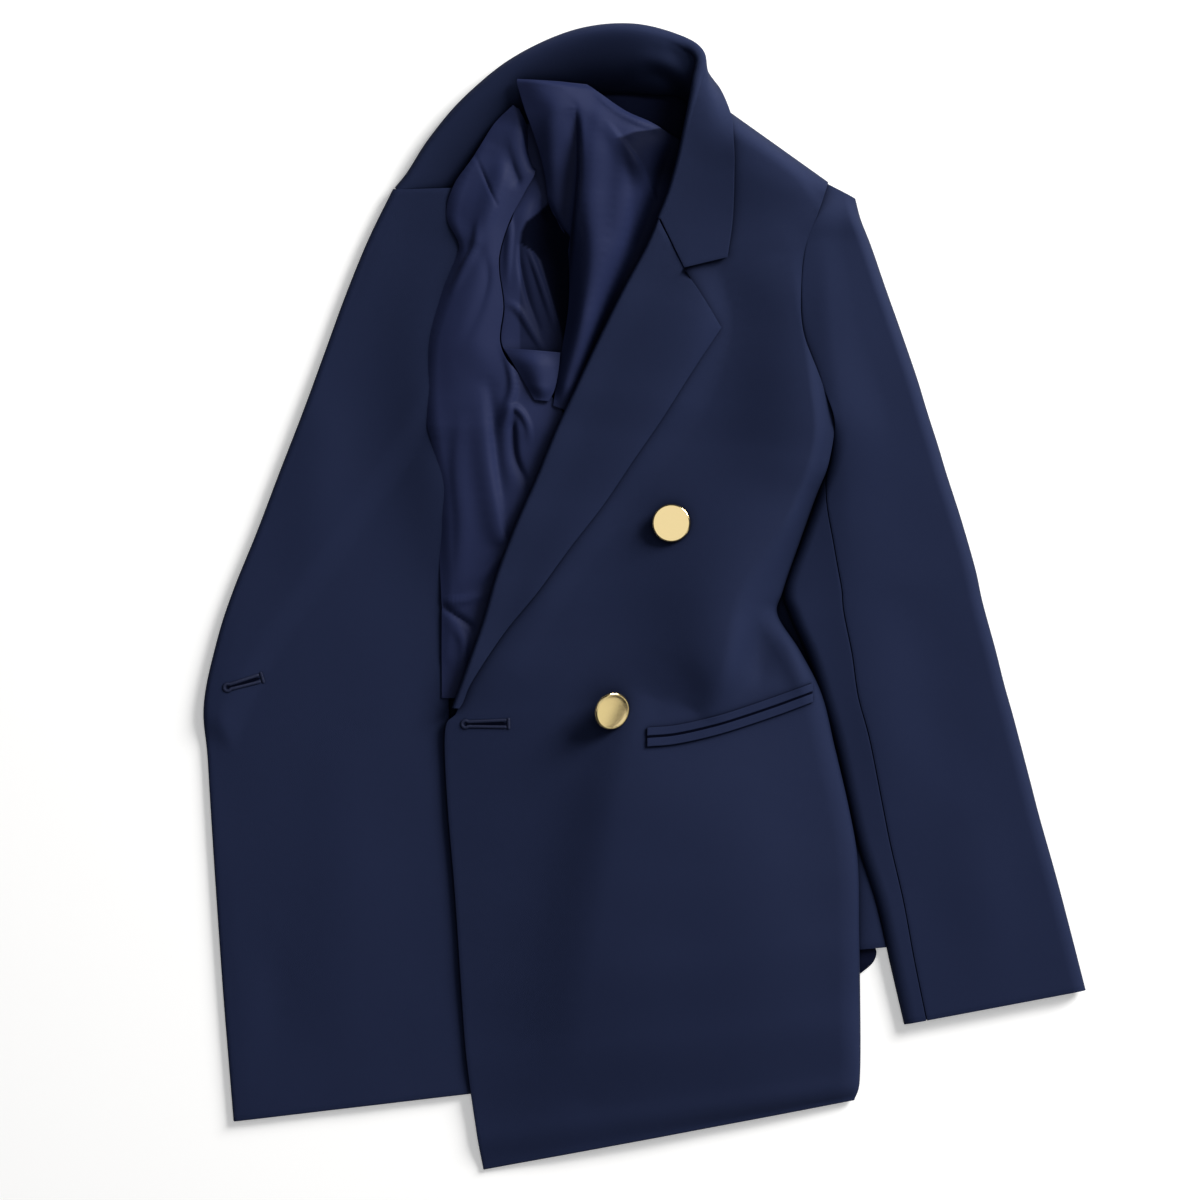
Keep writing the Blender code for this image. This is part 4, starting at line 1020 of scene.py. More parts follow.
@dataclass
class LeftFront:
    """Left front, outer side up, with its lapel, buttonhole and jetted pocket."""

    roll: float = 15.0          # how far in from a free edge the cloth starts to turn down
    lapel_turn: float = 3.0     # radius of the fold along the lapel's roll line
    lapel_rest: float = 0.9     # gap between the lapel and the front under it
    lapel_fall: float = 26.0    # the lapel comes down from its fold over this width
    shoulder_edge: float = 5.8      # height of the edge at the shoulder seam
    shoulder_station: float = 20.0
    shoulder_row: float = 34.0      # distance from one station to the next at the shoulder
    # hem to shoulder: left x, y down the front edge and roll, right x, y down side and armhole
    edges: Rows = (
        (-113, -399.85, 146, -351), (-118, -372, 149, -335), (-125, -320, 149, -288),
        (-129, -265, 148, -235), (-133, -205, 147, -185), (-138, -145, 141, -148),
        (-140, -98, 131, -105), (-136, -80, 122, -68), (-127, -55, 107, -38), (-114, -18, 91, -12),
        (-104, 16, 95, 6), (-91, 50, 106, 38), (-76, 84, 118, 72), (-62, 118, 127, 95),
        (-47, 150, 131, 122), (-31, 184, 123, 147), (-15, 216, 110, 183), (2, 248, 108, 215),
        (15, 281, 112, 246), (25, 318, 120, 268), (33, 356, 127, 289),
    )
    # station: height at front edge, chest, waist side, side
    heights: Rows = (
        (0, 0.6, 2.4, 3.2, 2.6), (1, 3.7, 5.8, 7.5, 6.5), (2, 5.6, 9.5, 12, 10.5),
        (3, 6, 12, 14.5, 13.5), (4, 6, 13, 15.5, 14.5), (5.5, 6.5, 13.5, 16, 14.5),
        (7, 7.5, 14.5, 16.5, 14), (8.5, 9.5, 15.5, 17, 13), (10, 11, 16.5, 17.5, 11.5),
        (11.5, 13, 17.5, 18.5, 13), (13, 15, 19, 19.5, 15.5), (14, 16.5, 20, 20.5, 16.5),
        (16, 19, 21.5, 21, 17.5), (18, 21.5, 23.5, 22.5, 18), (19, 23, 24.5, 22.5, 18),
        (20, 24, 23.5, 21, 17.5),
    )
    # station: height of the turned-down side edge, share of the turn
    side: Rows = (
        (2.2, 1), (2.6, 1), (3.5, 1), (9.4, 1), (10, 1), (10, 1), (8.8, 1), (7.4, 1), (6.6, 1),
        (6, 1), (6, 1), (6.5, 1), (9, 1), (13, 0.5), (16, 0), (17, 0), (17.5, 0), (18, 0), (18, 0),
        (18, 0), (17.5, 0),
    )
    # station: how far the cloth stops short of the outside of the lapel's and collar's fold
    inset: Rows = ((6.6, 0), (7, 4.5), (17, 4.5), (17.4, 5.7), (18.2, 5.7), (19, 10.7))
    # break point to gorge: station on the front's roll line, outer edge x, y
    lapel: Rows = (
        (7, -132, -80), (7.35, -127, -73), (8, -120.5, -58), (9, -98, -24), (10, -75, 4),
        (11, -53, 34), (12, -29, 65), (13, -8, 96), (14, 12, 125), (15, 33, 158), (16, 53, 188),
        (16.9, 40, 209), (17.5, 27, 228),
    )
    lapel_tip: int = 10         # row where the lapel's edge turns sharply
    # left to right: slit line x, y, reach of the upper welt, reach of the lower one
    pocket: Rows = (
        (1, -96.5, 6.5, 6.8), (22, -94.5, 6.4, 6.8), (52, -87.5, 6.4, 7), (88, -76, 6.6, 7),
        (116.5, -65.5, 6.4, 7),
    )
    slit: float = 1.5           # gap between the two welts
    slit_half: float = 1.0      # half the width of its strip of painted shade, which lies below the welts' tops
    slit_lift: float = 1.2      # how far over the front the strip lies
    welt_rest: float = 0.4      # gap between a welt and the front under it
    welt_h: float = 1.3
    creases: tuple[Crease, ...] = creased(
        # ridge from the armhole down past the waist to the pocket
        ((98, 240, 1, 12, 34), (106, 195, 5, 10, 44), (113, 150, 7.5, 9, 48), (116, 112, 8, 9, 48),
         (103, 69, 9, 13, 48), (85, 41, 10, 17, 50), (70, 18, 11.5, 20, 50), (60, -6, 12, 18, 50),
         (55, -32, 11.5, 16, 46), (49, -56, 8.5, 16, 42), (34, -78, 1, 20, 34)),
        # hollow under the armhole, beside the ridge
        ((84, -12, -0.3, 12, 8), (79, -30, -2.6, 18, 10), (80, -48, -2.6, 20, 10),
         (86, -62, -0.3, 16, 10)),
        ((100, -6, 0.5, 6, 8), (105, -30, 3, 8, 10), (110, -52, 2.6, 8, 10), (114, -66, 0.4, 8, 8)),
        # the chest sinks beside the lapel
        ((50, 240, -1.5, 40, 14), (62, 190, -8.6, 46, 20), (46, 134, -8.8, 50, 24),
         (20, 95, -7.4, 50, 24), (-8, 60, -6.2, 46, 22), (-36, 20, -4.4, 40, 20),
         (-64, -20, -2.4, 30, 14), (-90, -52, -0.2, 20, 10)),
        # step up to the skirt, from the lower button towards the hem
        ((6, -70, 1, 60, 20), (-8, -100, 7, 95, 27), (-16, -140, 8.8, 120, 32),
         (-24, -190, 9, 130, 36), (-34, -245, 8, 130, 40), (-42, -300, 5.5, 130, 42),
         (-46, -350, 2, 110, 40)),
        # the shoulder stays high almost to its seam
        ((40, 338, 1.5, 7, 24), (74, 314, 5, 8, 34), (103, 290, 5, 8, 34), (118, 272, 1.5, 7, 20)),
        # soft drop across the skirt's lower right
        ((60, -120, 0.4, 30, 40), (78, -190, 1.8, 36, 50), (92, -260, 1.5, 40, 50),
         (98, -315, 0.2, 30, 40)),
    )
    ripple: Ripple = Ripple(0.35)
    panel: Panel = field(init=False)
    side_curve: Curve = field(init=False)
    lapel_curve: Curve = field(init=False)
    pocket_curve: Curve = field(init=False)

    def __post_init__(self) -> None:
        """Build the curves and the panel from the tables."""
        self.side_curve = Curve(self.side)
        self.lapel_curve = Curve(self.lapel, (self.lapel_tip,))
        self.pocket_curve = Curve(self.pocket)
        self.panel = Panel(self.edges, self.heights, self.rim, self.creases, self.ripple)

    def rim(self, s: Array, t: Array, width: Array) -> tuple[Array, Array]:
        """Edge height and share of the full height near the turned-down edges.

        Args:
            s: station.
            t: share across.
            width: the panel's width there.

        Returns:
            Heights of the edge, and shares of the full height.
        """
        edge, turned = self.side_curve.at(s)
        side = 1.0 - turned * (1.0 - quarter((1.0 - t) * width / self.roll))
        shoulder = quarter((self.shoulder_station - s) * self.shoulder_row / self.roll)
        near = shoulder < 1.0
        return np.where(near, self.shoulder_edge, edge), np.where(near, shoulder, side)

    def front_place(self, s: Array, t: Array) -> Point:
        """Point of the front, which stops short of the lapel's fold along the roll line."""
        start = ramp(self.inset, s) / self.panel.width(s)
        return self.panel.place(s, start + (1.0 - start) * t)

    def lapel_place(self, s: Array, t: Array) -> Point:
        """Point of the lapel: t from -1 to 0 goes round the fold, then on to the edge at 1.

        Args:
            s: station from the break to the gorge.
            t: share round and across.

        Returns:
            The point on its underside.
        """
        turn = self.lapel_turn
        station, bx, by = self.lapel_curve.at(s)
        ax, ay = self.panel.plan(station, 0.0)
        width = np.hypot(bx - ax, by - ay)
        ux, uy = (bx - ax) / width, (by - ay) / width
        cx, cy, width = ax + ux * turn, ay + uy * turn, np.maximum(width - turn, 0.6)
        under = self.panel.under(cx, cy)
        angle = math.pi * (np.minimum(t, 0.0) + 1.0)
        flat = np.maximum(t, 0.0) * width
        out = flat - turn * np.where(t <= 0.0, np.sin(angle), 0.0)
        x, y = cx + ux * out, cy + uy * out
        rest = self.panel.top(x, y) + self.lapel_rest + CLOTH
        lifted = under + 2.0 * turn
        laid = np.maximum(rest, lifted + (rest - lifted) * ease(flat / self.lapel_fall))
        return x, y, np.where(t <= 0.0, under + turn * (1.0 - np.cos(angle)), laid)

    def welt_place(self, s: Array, t: Array, upper: bool) -> Point:
        """Point on the underside of a welt, from its lower to its upper edge.

        Args:
            s: station along the slit.
            t: share across.
            upper: the welt above the slit.

        Returns:
            The point.
        """
        x, y, up, down = self.pocket_curve.at(s)
        gap = self.slit / 2
        y = y + (gap + (up - gap) * t if upper else -down + (down - gap) * t)
        return x, y, self.panel.top(x, y) + self.welt_rest

    def build(self) -> None:
        """Make the front, the lapel and the pocket."""
        rows = stations([*range(20), 19.55, 19.8, 19.95, 20], 0.085)
        cols = shares((0, 0.9, 79), (0.9, 1, 21))
        sew("left_front", surface(self.front_place, rows, cols), SUITING, CLOTH)
        rows = np.append(stations([0.5, *range(1, 12)], 0.07), [11.3, 11.62, 11.97])
        cols = shares((-1, 0, 12), (0, 0.9, 41), (0.9, 1, 1))
        sew("left_lapel", surface(self.lapel_place, rows, cols), SUITING, CLOTH,
            side=-1.0, edge=0.3)
        for name, upper in (("pocket_welt_upper", True), ("pocket_welt_lower", False)):
            points = surface(lambda s, t: self.welt_place(s, t, upper), shares((0, 4, 80)),
                             shares((0, 1, 8)))
            sew(name, points, SUITING, self.welt_h, side=-1.0)
        line = self.pocket_curve.at(np.linspace(0.01, 3.99, 90))[:2].T
        # the pocket's slit is a strip of painted shade
        shade_strip("pocket_slit", line, np.full(len(line), self.slit_half), self.panel.top, self.slit_lift)
        Buttonhole("left_buttonhole", (-125.3, -88.0), (-96.6, -87.6), self.panel.top).build()


# ------------ right sleeve, under the body

@dataclass
class RightSleeve:
    """Right sleeve pressed flat under the body, with the lining that shows at its cuff."""

    # head to cuff: left x, y, right x, y, height over the outside
    edges: Rows = (
        (-100, 272, -56, 292, 4), (-107, 228, -40, 252, 4), (-108, 182, -24, 216, 4),
        (-104, 140, 6, 180, 5), (-92, 98, 24, 138, 7.2), (-70, 40, 42, 73, 7.2),
        (-46, -20, 60, 12, 7.2), (-20, -80, 88, -54, 7.2), (3, -135, 125, -110, 7.2),
        (22, -180, 146.4, -162.5, 7.2), (36, -215, 159.2, -203, 7.2), (45, -254, 169.2, -244, 7.2),
    )
    flatness: float = 0.45      # power of the ring's height; less makes it flatter
    sole: float = 1.25          # how much flatter the lower side lies
    shade: float = 0.75         # how dark the painted shade on the lining in the cuff is
    curve: Curve = field(init=False)

    def __post_init__(self) -> None:
        """Build the curve along the sleeve."""
        self.curve = Curve(self.edges)

    def place(self, s: Array, around: Array) -> Point:
        """Flattened ring: around runs from 0 to 1, along the top and back along the floor.

        Args:
            s: station from head to cuff.
            around: share of the way round.

        Returns:
            The point.
        """
        ax, ay, bx, by, high = self.curve.at(s)
        angle = 2.0 * math.pi * around
        across = 0.5 - 0.5 * np.cos(angle)
        swell = np.abs(np.sin(angle)) ** self.flatness
        half = high / 2
        z = half + half * np.where(around <= 0.5, swell, -np.minimum(1.0, swell * self.sole))
        return *between((ax, ay), (bx, by), across), z

    def hump(self, x: Array, y: Array, margin: float, slope: float, ends: float = 1.0) -> Array:
        """Height of cloth over the sleeve.

        Args:
            x: places across.
            y: places along.
            margin: how far round the sleeve it stays level.
            slope: how far it then takes to come down.
            ends: how much slower it comes down past the sleeve's ends, 1 for no slower.

        Returns:
            The heights.
        """
        lifted = np.zeros(np.shape(x))
        for a, b in zip(self.edges, self.edges[1:]):
            ax, ay = (a[0] + a[2]) / 2, (a[1] + a[3]) / 2
            bx, by = (b[0] + b[2]) / 2 - ax, (b[1] + b[3]) / 2 - ay
            length = math.hypot(bx, by)
            along = ((x - ax) * bx + (y - ay) * by) / length ** 2
            beyond = np.maximum(0.0, np.maximum(-along, along - 1.0)) * length
            aside = np.abs((x - ax) * by - (y - ay) * bx) / length
            along = np.clip(along, 0.0, 1.0)
            half = math.hypot(a[2] - a[0], a[3] - a[1]) * (1 - along) / 2
            half = half + math.hypot(b[2] - b[0], b[3] - b[1]) * along / 2
            high = a[4] + (b[4] - a[4]) * along
            outside = np.maximum(aside - half, beyond * ends)
            lifted = np.maximum(lifted, (high + REST) * (1.0 - ease((outside - margin) / slope)))
        return lifted

    def build(self) -> None:
        """Make the sleeve and its cuff lining."""
        points = surface(self.place, stations(range(12), 0.12), shares((0, 1, 96)))
        sew("right_sleeve", points, SUITING, UNDER_SLEEVE_WALL,
            around=True)
        lining = Panel(
            edges=[
                (116, -260, 151, -262.5), (117, -253, 160, -254), (118, -246, 161, -244.5),
                (118, -236, 150, -234),
            ],
            heights=[(0, 0, 1.6, 0.6), (1, 0.6, 2.2, 1.4), (2, 2, 2.6, 2.2), (3, 2, 2.4, 2.2)])
        points = surface(lining.place, shares((0, 3, 39)), shares((0, 1, 49)))
        # the cuff lining is darkened all over with painted shade
        sew("cuff_lining", points, SATIN, LINING,
            painted_shade=np.full(points.shape[:2], self.shade))


# ------------ right front, face down

@dataclass
class RightFront:
    """Right front face down with its lapel folded under, and its facing on top."""

    # along the roll line from the break, how far the roll bows, how far the outer edge lies across
    lapel: Rows = (
        (0, 0, 4), (50, -4, 10), (100, -6, 22), (150, -6, 34), (199, -6, 46), (260, -5, 59),
        (323, -3, 70), (337, -2, 50), (350, -1, 31), (373, -1, 9),
    )
    lapel_tip: int = 6          # row where the lapel's edge turns sharply
    lapel_gap: float = 1.0      # from the roll line to the lapel
    break_point: tuple[float, float] = (-307, -70)
    roll: tuple[float, float] = (0.355, 0.935)      # unit step along the roll line
    margin: float = 8.0         # how far round the folded-under lapel the cloth stays level
    slope: float = 22.0         # how far it then takes to come down
    # hem to gorge: front edge and roll line, side and armhole
    edges: Rows = (
        (-288, -366, -30, -336), (-291, -330, -29, -300), (-295, -281, -28, -262),
        (-299, -225, -28, -215), (-303, -165, -27, -160), (-306, -115, -28, -115),
        (-307.5, -74, -34, -85), (-298, -30, -46, -38), (-287, 4, -58, 0), (-270, 46, -76, 38),
        (-254, 88, -96, 72), (-238, 129, -106, 105), (-223, 170, -108.5, 140),
        (-208, 211, -110, 180), (-192, 250, -109.5, 220), (-178, 279, -108, 262),
    )
    setback: float = 3.8        # how far the front's edge lies inside the facing's
    # hem to gorge seam: front edge and roll line, inner edge
    facing: Rows = (
        (-287, -366, -117, -346), (-290, -330, -119, -310), (-294, -281, -122, -268),
        (-298, -225, -126, -215), (-302, -165, -131, -160), (-305, -115, -135, -112),
        (-307.2, -74, -137, -76), (-298, -30, -137, -36), (-287, 4, -137, 0), (-270, 46, -138, 44),
        (-254, 88, -140, 86), (-238, 129, -144, 126), (-223, 170, -145, 166),
        (-208, 211, -138, 207), (-192, 250, -126, 248), (-174.6, 285.2, -128, 285.9),
    )
    facing_turn: float = 3.2    # the facing turns down over this width at its front edge
    facing_edge: float = 0.72   # share of its height that is left at the edge
    facing_rest: float = 0.8    # gap between the facing and the front under it
    creases: tuple[Crease, ...] = creased(
        # rises to the lining
        ((-120, 304, 5, 10, 36), (-124, 268, 6.8, 10, 42), (-130, 240, 6.6, 10, 42),
         (-139, 212, 6.6, 10, 40), (-146, 168, 7.4, 10, 38), (-144, 126, 7.8, 10, 36),
         (-140, 86, 7, 10, 34), (-138, 44, 3.4, 10, 26), (-137, 0, 0.2, 10, 16)),
        # long soft folds over the lapel folded under it
        ((-232, 150, 0.3, 18, 16), (-226, 110, 1.4, 22, 18), (-232, 50, 1.2, 24, 20),
         (-240, -10, 0.2, 20, 18)),
        ((-205, -90, 0.2, 30, 26), (-212, -170, 1.5, 36, 30), (-206, -250, 1.2, 34, 30),
         (-214, -320, 0.2, 26, 24)),
        ((-262, -230, 0.2, 14, 12), (-258, -280, -0.9, 20, 14), (-262, -330, -0.2, 16, 12)),
    )
    ripple: Ripple = Ripple(0.25, turn=1.9)
    ripple_from: float = 12.0   # the ripples set in over this width from the front edge
    lapel_curve: Curve = field(init=False)
    edge_curve: Curve = field(init=False)
    facing_curve: Curve = field(init=False)

    def __post_init__(self) -> None:
        """Build the curves from the tables."""
        self.lapel_curve = Curve(self.lapel, (self.lapel_tip,))
        self.edge_curve = Curve(self.edges)
        self.facing_curve = Curve(self.facing)

    def lapel_place(self, s: Array, t: Array) -> Point:
        """Point on the underside of the lapel, roll line to outer edge.

        Args:
            s: station.
            t: share across.

        Returns:
            The point.
        """
        along, bow, outer = self.lapel_curve.at(s)
        bow = bow + self.lapel_gap
        across = bow + (outer - bow) * t
        x = self.break_point[0] + self.roll[0] * along + self.roll[1] * across
        y = self.break_point[1] + self.roll[1] * along - self.roll[0] * across
        return x, y, np.zeros(x.shape)

    def over_lapel(self, x: Array, y: Array) -> Array:
        """Height of cloth lying over the folded-under lapel and fall, and beside them.

        Args:
            x: places across.
            y: places along.

        Returns:
            The heights.
        """
        dx, dy = x - self.break_point[0], y - self.break_point[1]
        along = dx * self.roll[0] + dy * self.roll[1]
        across = dx * self.roll[1] - dy * self.roll[0]
        starts = np.array([row[0] for row in self.lapel[:self.lapel_tip + 1]], float)
        row = np.clip(np.searchsorted(starts, along) - 1, 0, self.lapel_tip - 1)
        station = row + (along - starts[row]) / (starts[row + 1] - starts[row])
        outer = self.lapel_curve.at(np.minimum(station, self.lapel_tip))[2]
        beside = np.maximum(across - outer, -along)
        return (UNDER_H + REST) * (1.0 - ease((beside - self.margin) / self.slope))

    def front_place(self, s: Array, t: Array) -> Point:
        """Point on the underside of the front, which is its outer side.

        Args:
            s: station.
            t: share across.

        Returns:
            The point.
        """
        lx, ly, rx, ry = self.edge_curve.at(s)
        x, y = between((lx + self.setback, ly), (rx, ry), t)
        return x, y, self.over_lapel(x, y)

    def lie(self, x: Array, y: Array) -> Array:
        """Height of the facing's underside away from its edge."""
        return raised(self.over_lapel(x, y) + CLOTH + self.facing_rest, self.creases, x, y)

    def facing_top(self, x: Array, y: Array) -> Array:
        """Height of the facing's upper face."""
        return self.lie(x, y) + self.ripple.lift(x, y) + self.ripple.height + CLOTH

    def facing_place(self, s: Array, t: Array) -> Point:
        """Point on the underside of the facing, front edge to lining.

        Args:
            s: station.
            t: share across.

        Returns:
            The point.
        """
        lx, ly, rx, ry = self.facing_curve.at(s)
        x, y = between((lx, ly), (rx, ry), t)
        across = t * np.hypot(rx - lx, ry - ly)
        waves = (self.ripple.lift(x, y) + self.ripple.height) * ease(across / self.ripple_from)
        turned = quarter(across / self.facing_turn)
        return x, y, (self.lie(x, y) + waves) * (self.facing_edge + (1.0 - self.facing_edge) * turned)

    def build(self) -> None:
        """Make the lapel, the front and the facing."""
        rows = stations([*range(9), 8.7], 0.1)
        sew("right_lapel", surface(self.lapel_place, rows, shares((0, 1, 23))), SUITING, UNDER_H)
        rows = stations(range(16), 0.1)
        sew("right_front", surface(self.front_place, rows, shares((0, 1, 59))), SUITING, CLOTH)
        cols = shares((0, 0.06, 11), (0.06, 1, 69))
        sew("right_facing", surface(self.facing_place, rows, cols), SUITING, CLOTH)
        Buttonhole("right_buttonhole", (-291.5, -62.5), (-269, -56), self.facing_top).build()


# ------------ collar

@dataclass
class Collar:
    """Collar stand and fall in one band, folded along its roll."""

    front: LeftFront
    fall_rest: float = 1.4      # gap between the fall and the left front under it
    step: float = 0.05          # step in station for the direction of the fold
    swell: Rows = ((3, 0), (5, 1))    # station: how much steeper the stand is at its seam
    free_end: float = 0.6       # stations over which the sharp turn in the fall's middle goes
    free_lead: float = 0.2      # and the part of them before it starts to go
    hollow: Rows = ((3, 0.94), (8, 1), (10.5, 0.5), (13, 0.25))    # station: strength of the painted shade at the neck
    lit_from: float = 1.05      # part of the band from which the stand has no painted shade
    gloom: float = 0.6          # power of the painted shade on the stand; less carries it further up
    creased_to: float = 1.6     # part of the band up to which the creases run
    # neck x, y, z; fold x, y, z, side in degrees, radius; middle x, y, z; edge x, y, z;
    # a height left open lies on the left front
    rows: Sequence[Sequence[float | None]] = (
        (11.3, 262.3, 20.9, 7.8, 263.9, 23.9, 180, 3, 26.9, 229.2, None, 57, 236.5, None),
        (18.8, 281.5, 21.5, 15, 282, 24.6, 180, 3.1, 37, 262, None, 60.5, 262, None),
        (26, 306.5, 22.4, 22, 307, 25.7, 180, 3.2, 42, 295, None, 61.5, 292, None),
        (31, 331, 21.8, 27.5, 333, 26.6, 172, 3.4, 46, 322, None, 61, 317, None),
        (29, 345, 19, 33, 358, 28, 135, 3.8, 49, 343, 26.5, 59, 338, 22),
        (20, 350, 13, 37.5, 377, 25.5, 90, 4.2, 42.5, 370, 12, 47, 362, 3.2),
        (4, 351, 11, 25, 391, 17, 30, 5.6, 34, 372, 1.6, 28, 352, 0),
        (-16, 352, 9.8, -8, 400, 14.5, 0, 6.4, -6, 376, 0, -5, 354, 0),
        (-44, 351, 9.4, -49, 396, 13.6, 0, 6.2, -44, 373, 0, -40, 352, 0),
        (-72, 341, 8.8, -92, 377, 11.6, 0, 5.8, -78, 357, 0, -66, 338, 0),
        (-97, 323, 7.7, -127, 349, 9.2, 0, 5.4, -108, 335, 0, -91, 320, 0),
        (-116, 304, 7.5, -151, 321, 6.8, 0, 4.9, -129, 309, 0, -109, 298, 0),
        (-127, 293, 7.4, -166, 298, 5.2, 0, 4.5, -144, 284, 0, -120, 276, 0),
        (-133, 286.6, 7.3, -175, 286.8, 4.2, 0, 4.2, -151, 253, 0, -126, 253, 0),
    )
    creases: tuple[Crease, ...] = creased(
        # the roll stands highest at the middle of the back
        ((33, 386, 0.2, 10, 12), (12, 395, 3.6, 12, 18), (-12, 398, 5.4, 12, 22),
         (-48, 394, 5, 12, 22), (-88, 376, 3.4, 12, 18), (-122, 350, 1.4, 12, 14),
         (-150, 320, 0.2, 10, 12)),
        # crumpled stand beside the fold of the leaf
        ((-14, 366, 0.2, 5, 5), (0, 374, 1.4, 6, 5), (16, 371, 1.8, 5, 6), (28, 362, 0.4, 4, 5)),
        ((-6, 360, -0.2, 5, 5), (8, 364, -1.4, 4, 6), (20, 356, -1.2, 5, 5), (27, 349, -0.2, 4, 4)),
        ((12, 384, 0.2, 4, 4), (20, 379, -1.2, 4, 5), (29, 376, -0.3, 4, 4)),
    )
    curve: Curve = field(init=False)

    def __post_init__(self) -> None:
        """Lay the fall on the left front wherever its height is left open."""
        rows = []
        for row in self.rows:
            row = list(row)
            for k in (8, 11):
                if row[k + 2] is None:
                    top = self.front.panel.top(np.array([row[k]]), np.array([row[k + 1]]))[0]
                    row[k + 2] = top + self.fall_rest + CLOTH
            rows.append(row)
        self.curve = Curve(rows)

    def place(self, s: Array, part: Array) -> Point:
        """Point of the band: 0 neck seam, 1 to 2 round the fold, 3 middle of the fall, 4 its edge.

        Args:
            s: station along the neck.
            part: part of the band.

        Returns:
            The point.
        """
        row = self.curve.at(s)
        before, after = self.curve.at(s - self.step), self.curve.at(s + self.step)
        tx, ty = after[3] - before[3], after[4] - before[4]
        size = np.hypot(tx, ty)
        ox, oy = ty / size, -tx / size
        side, radius = np.radians(row[6]), row[7]
        apex = np.stack([ox * np.cos(side), oy * np.cos(side), np.sin(side)])
        stand = np.stack([-ox * np.sin(side), -oy * np.sin(side), np.cos(side)])
        centre = row[3:6] - apex * radius
        top = centre + stand * radius
        rise = row[:3] + (top - row[:3]) * part
        rise[2] += (top[2] - row[2]) * ramp(self.swell, s) * part * (1.0 - part)
        angle = math.pi * (np.clip(part, 1.0, 2.0) - 1.0)
        fold = centre + radius * (stand * np.cos(angle) + apex * np.sin(angle))
        low, middle, edge = centre - stand * radius, row[8:11], row[11:14]
        first = part < 3.0
        start, step = np.where(first, low, middle), np.where(first, middle - low, edge - middle)
        sharp = 1.0 - ease(s / self.free_end - self.free_lead)
        slope = (edge - low) / 2
        slope = slope + (step - slope) * sharp
        fall = cubic(start, step, np.where(first, step, slope), np.where(first, slope, step),
                     part - np.where(first, 2.0, 3.0))
        x, y, z = np.where(part < 1.0, rise, np.where(part <= 2.0, fold, fall))
        return x, y, np.maximum(raised(z, self.creases, x, y, ease(self.creased_to - part)), 0.0)

    def build(self) -> None:
        """Make the collar."""
        rows, cols = stations(range(14), 0.08), shares((0, 1, 19), (1, 2, 14), (2, 3, 19), (3, 4, 19))
        # painted shade on the stand, darkest at the neck seam
        painted_shade = ramp(self.hollow, rows)[:, None] * (1.0 - ease(cols / self.lit_from)) ** self.gloom
        sew("collar", surface(self.place, rows, cols), SUITING, CLOTH,
            side=-1.0, painted_shade=painted_shade)


# ------------ back and hidden layers

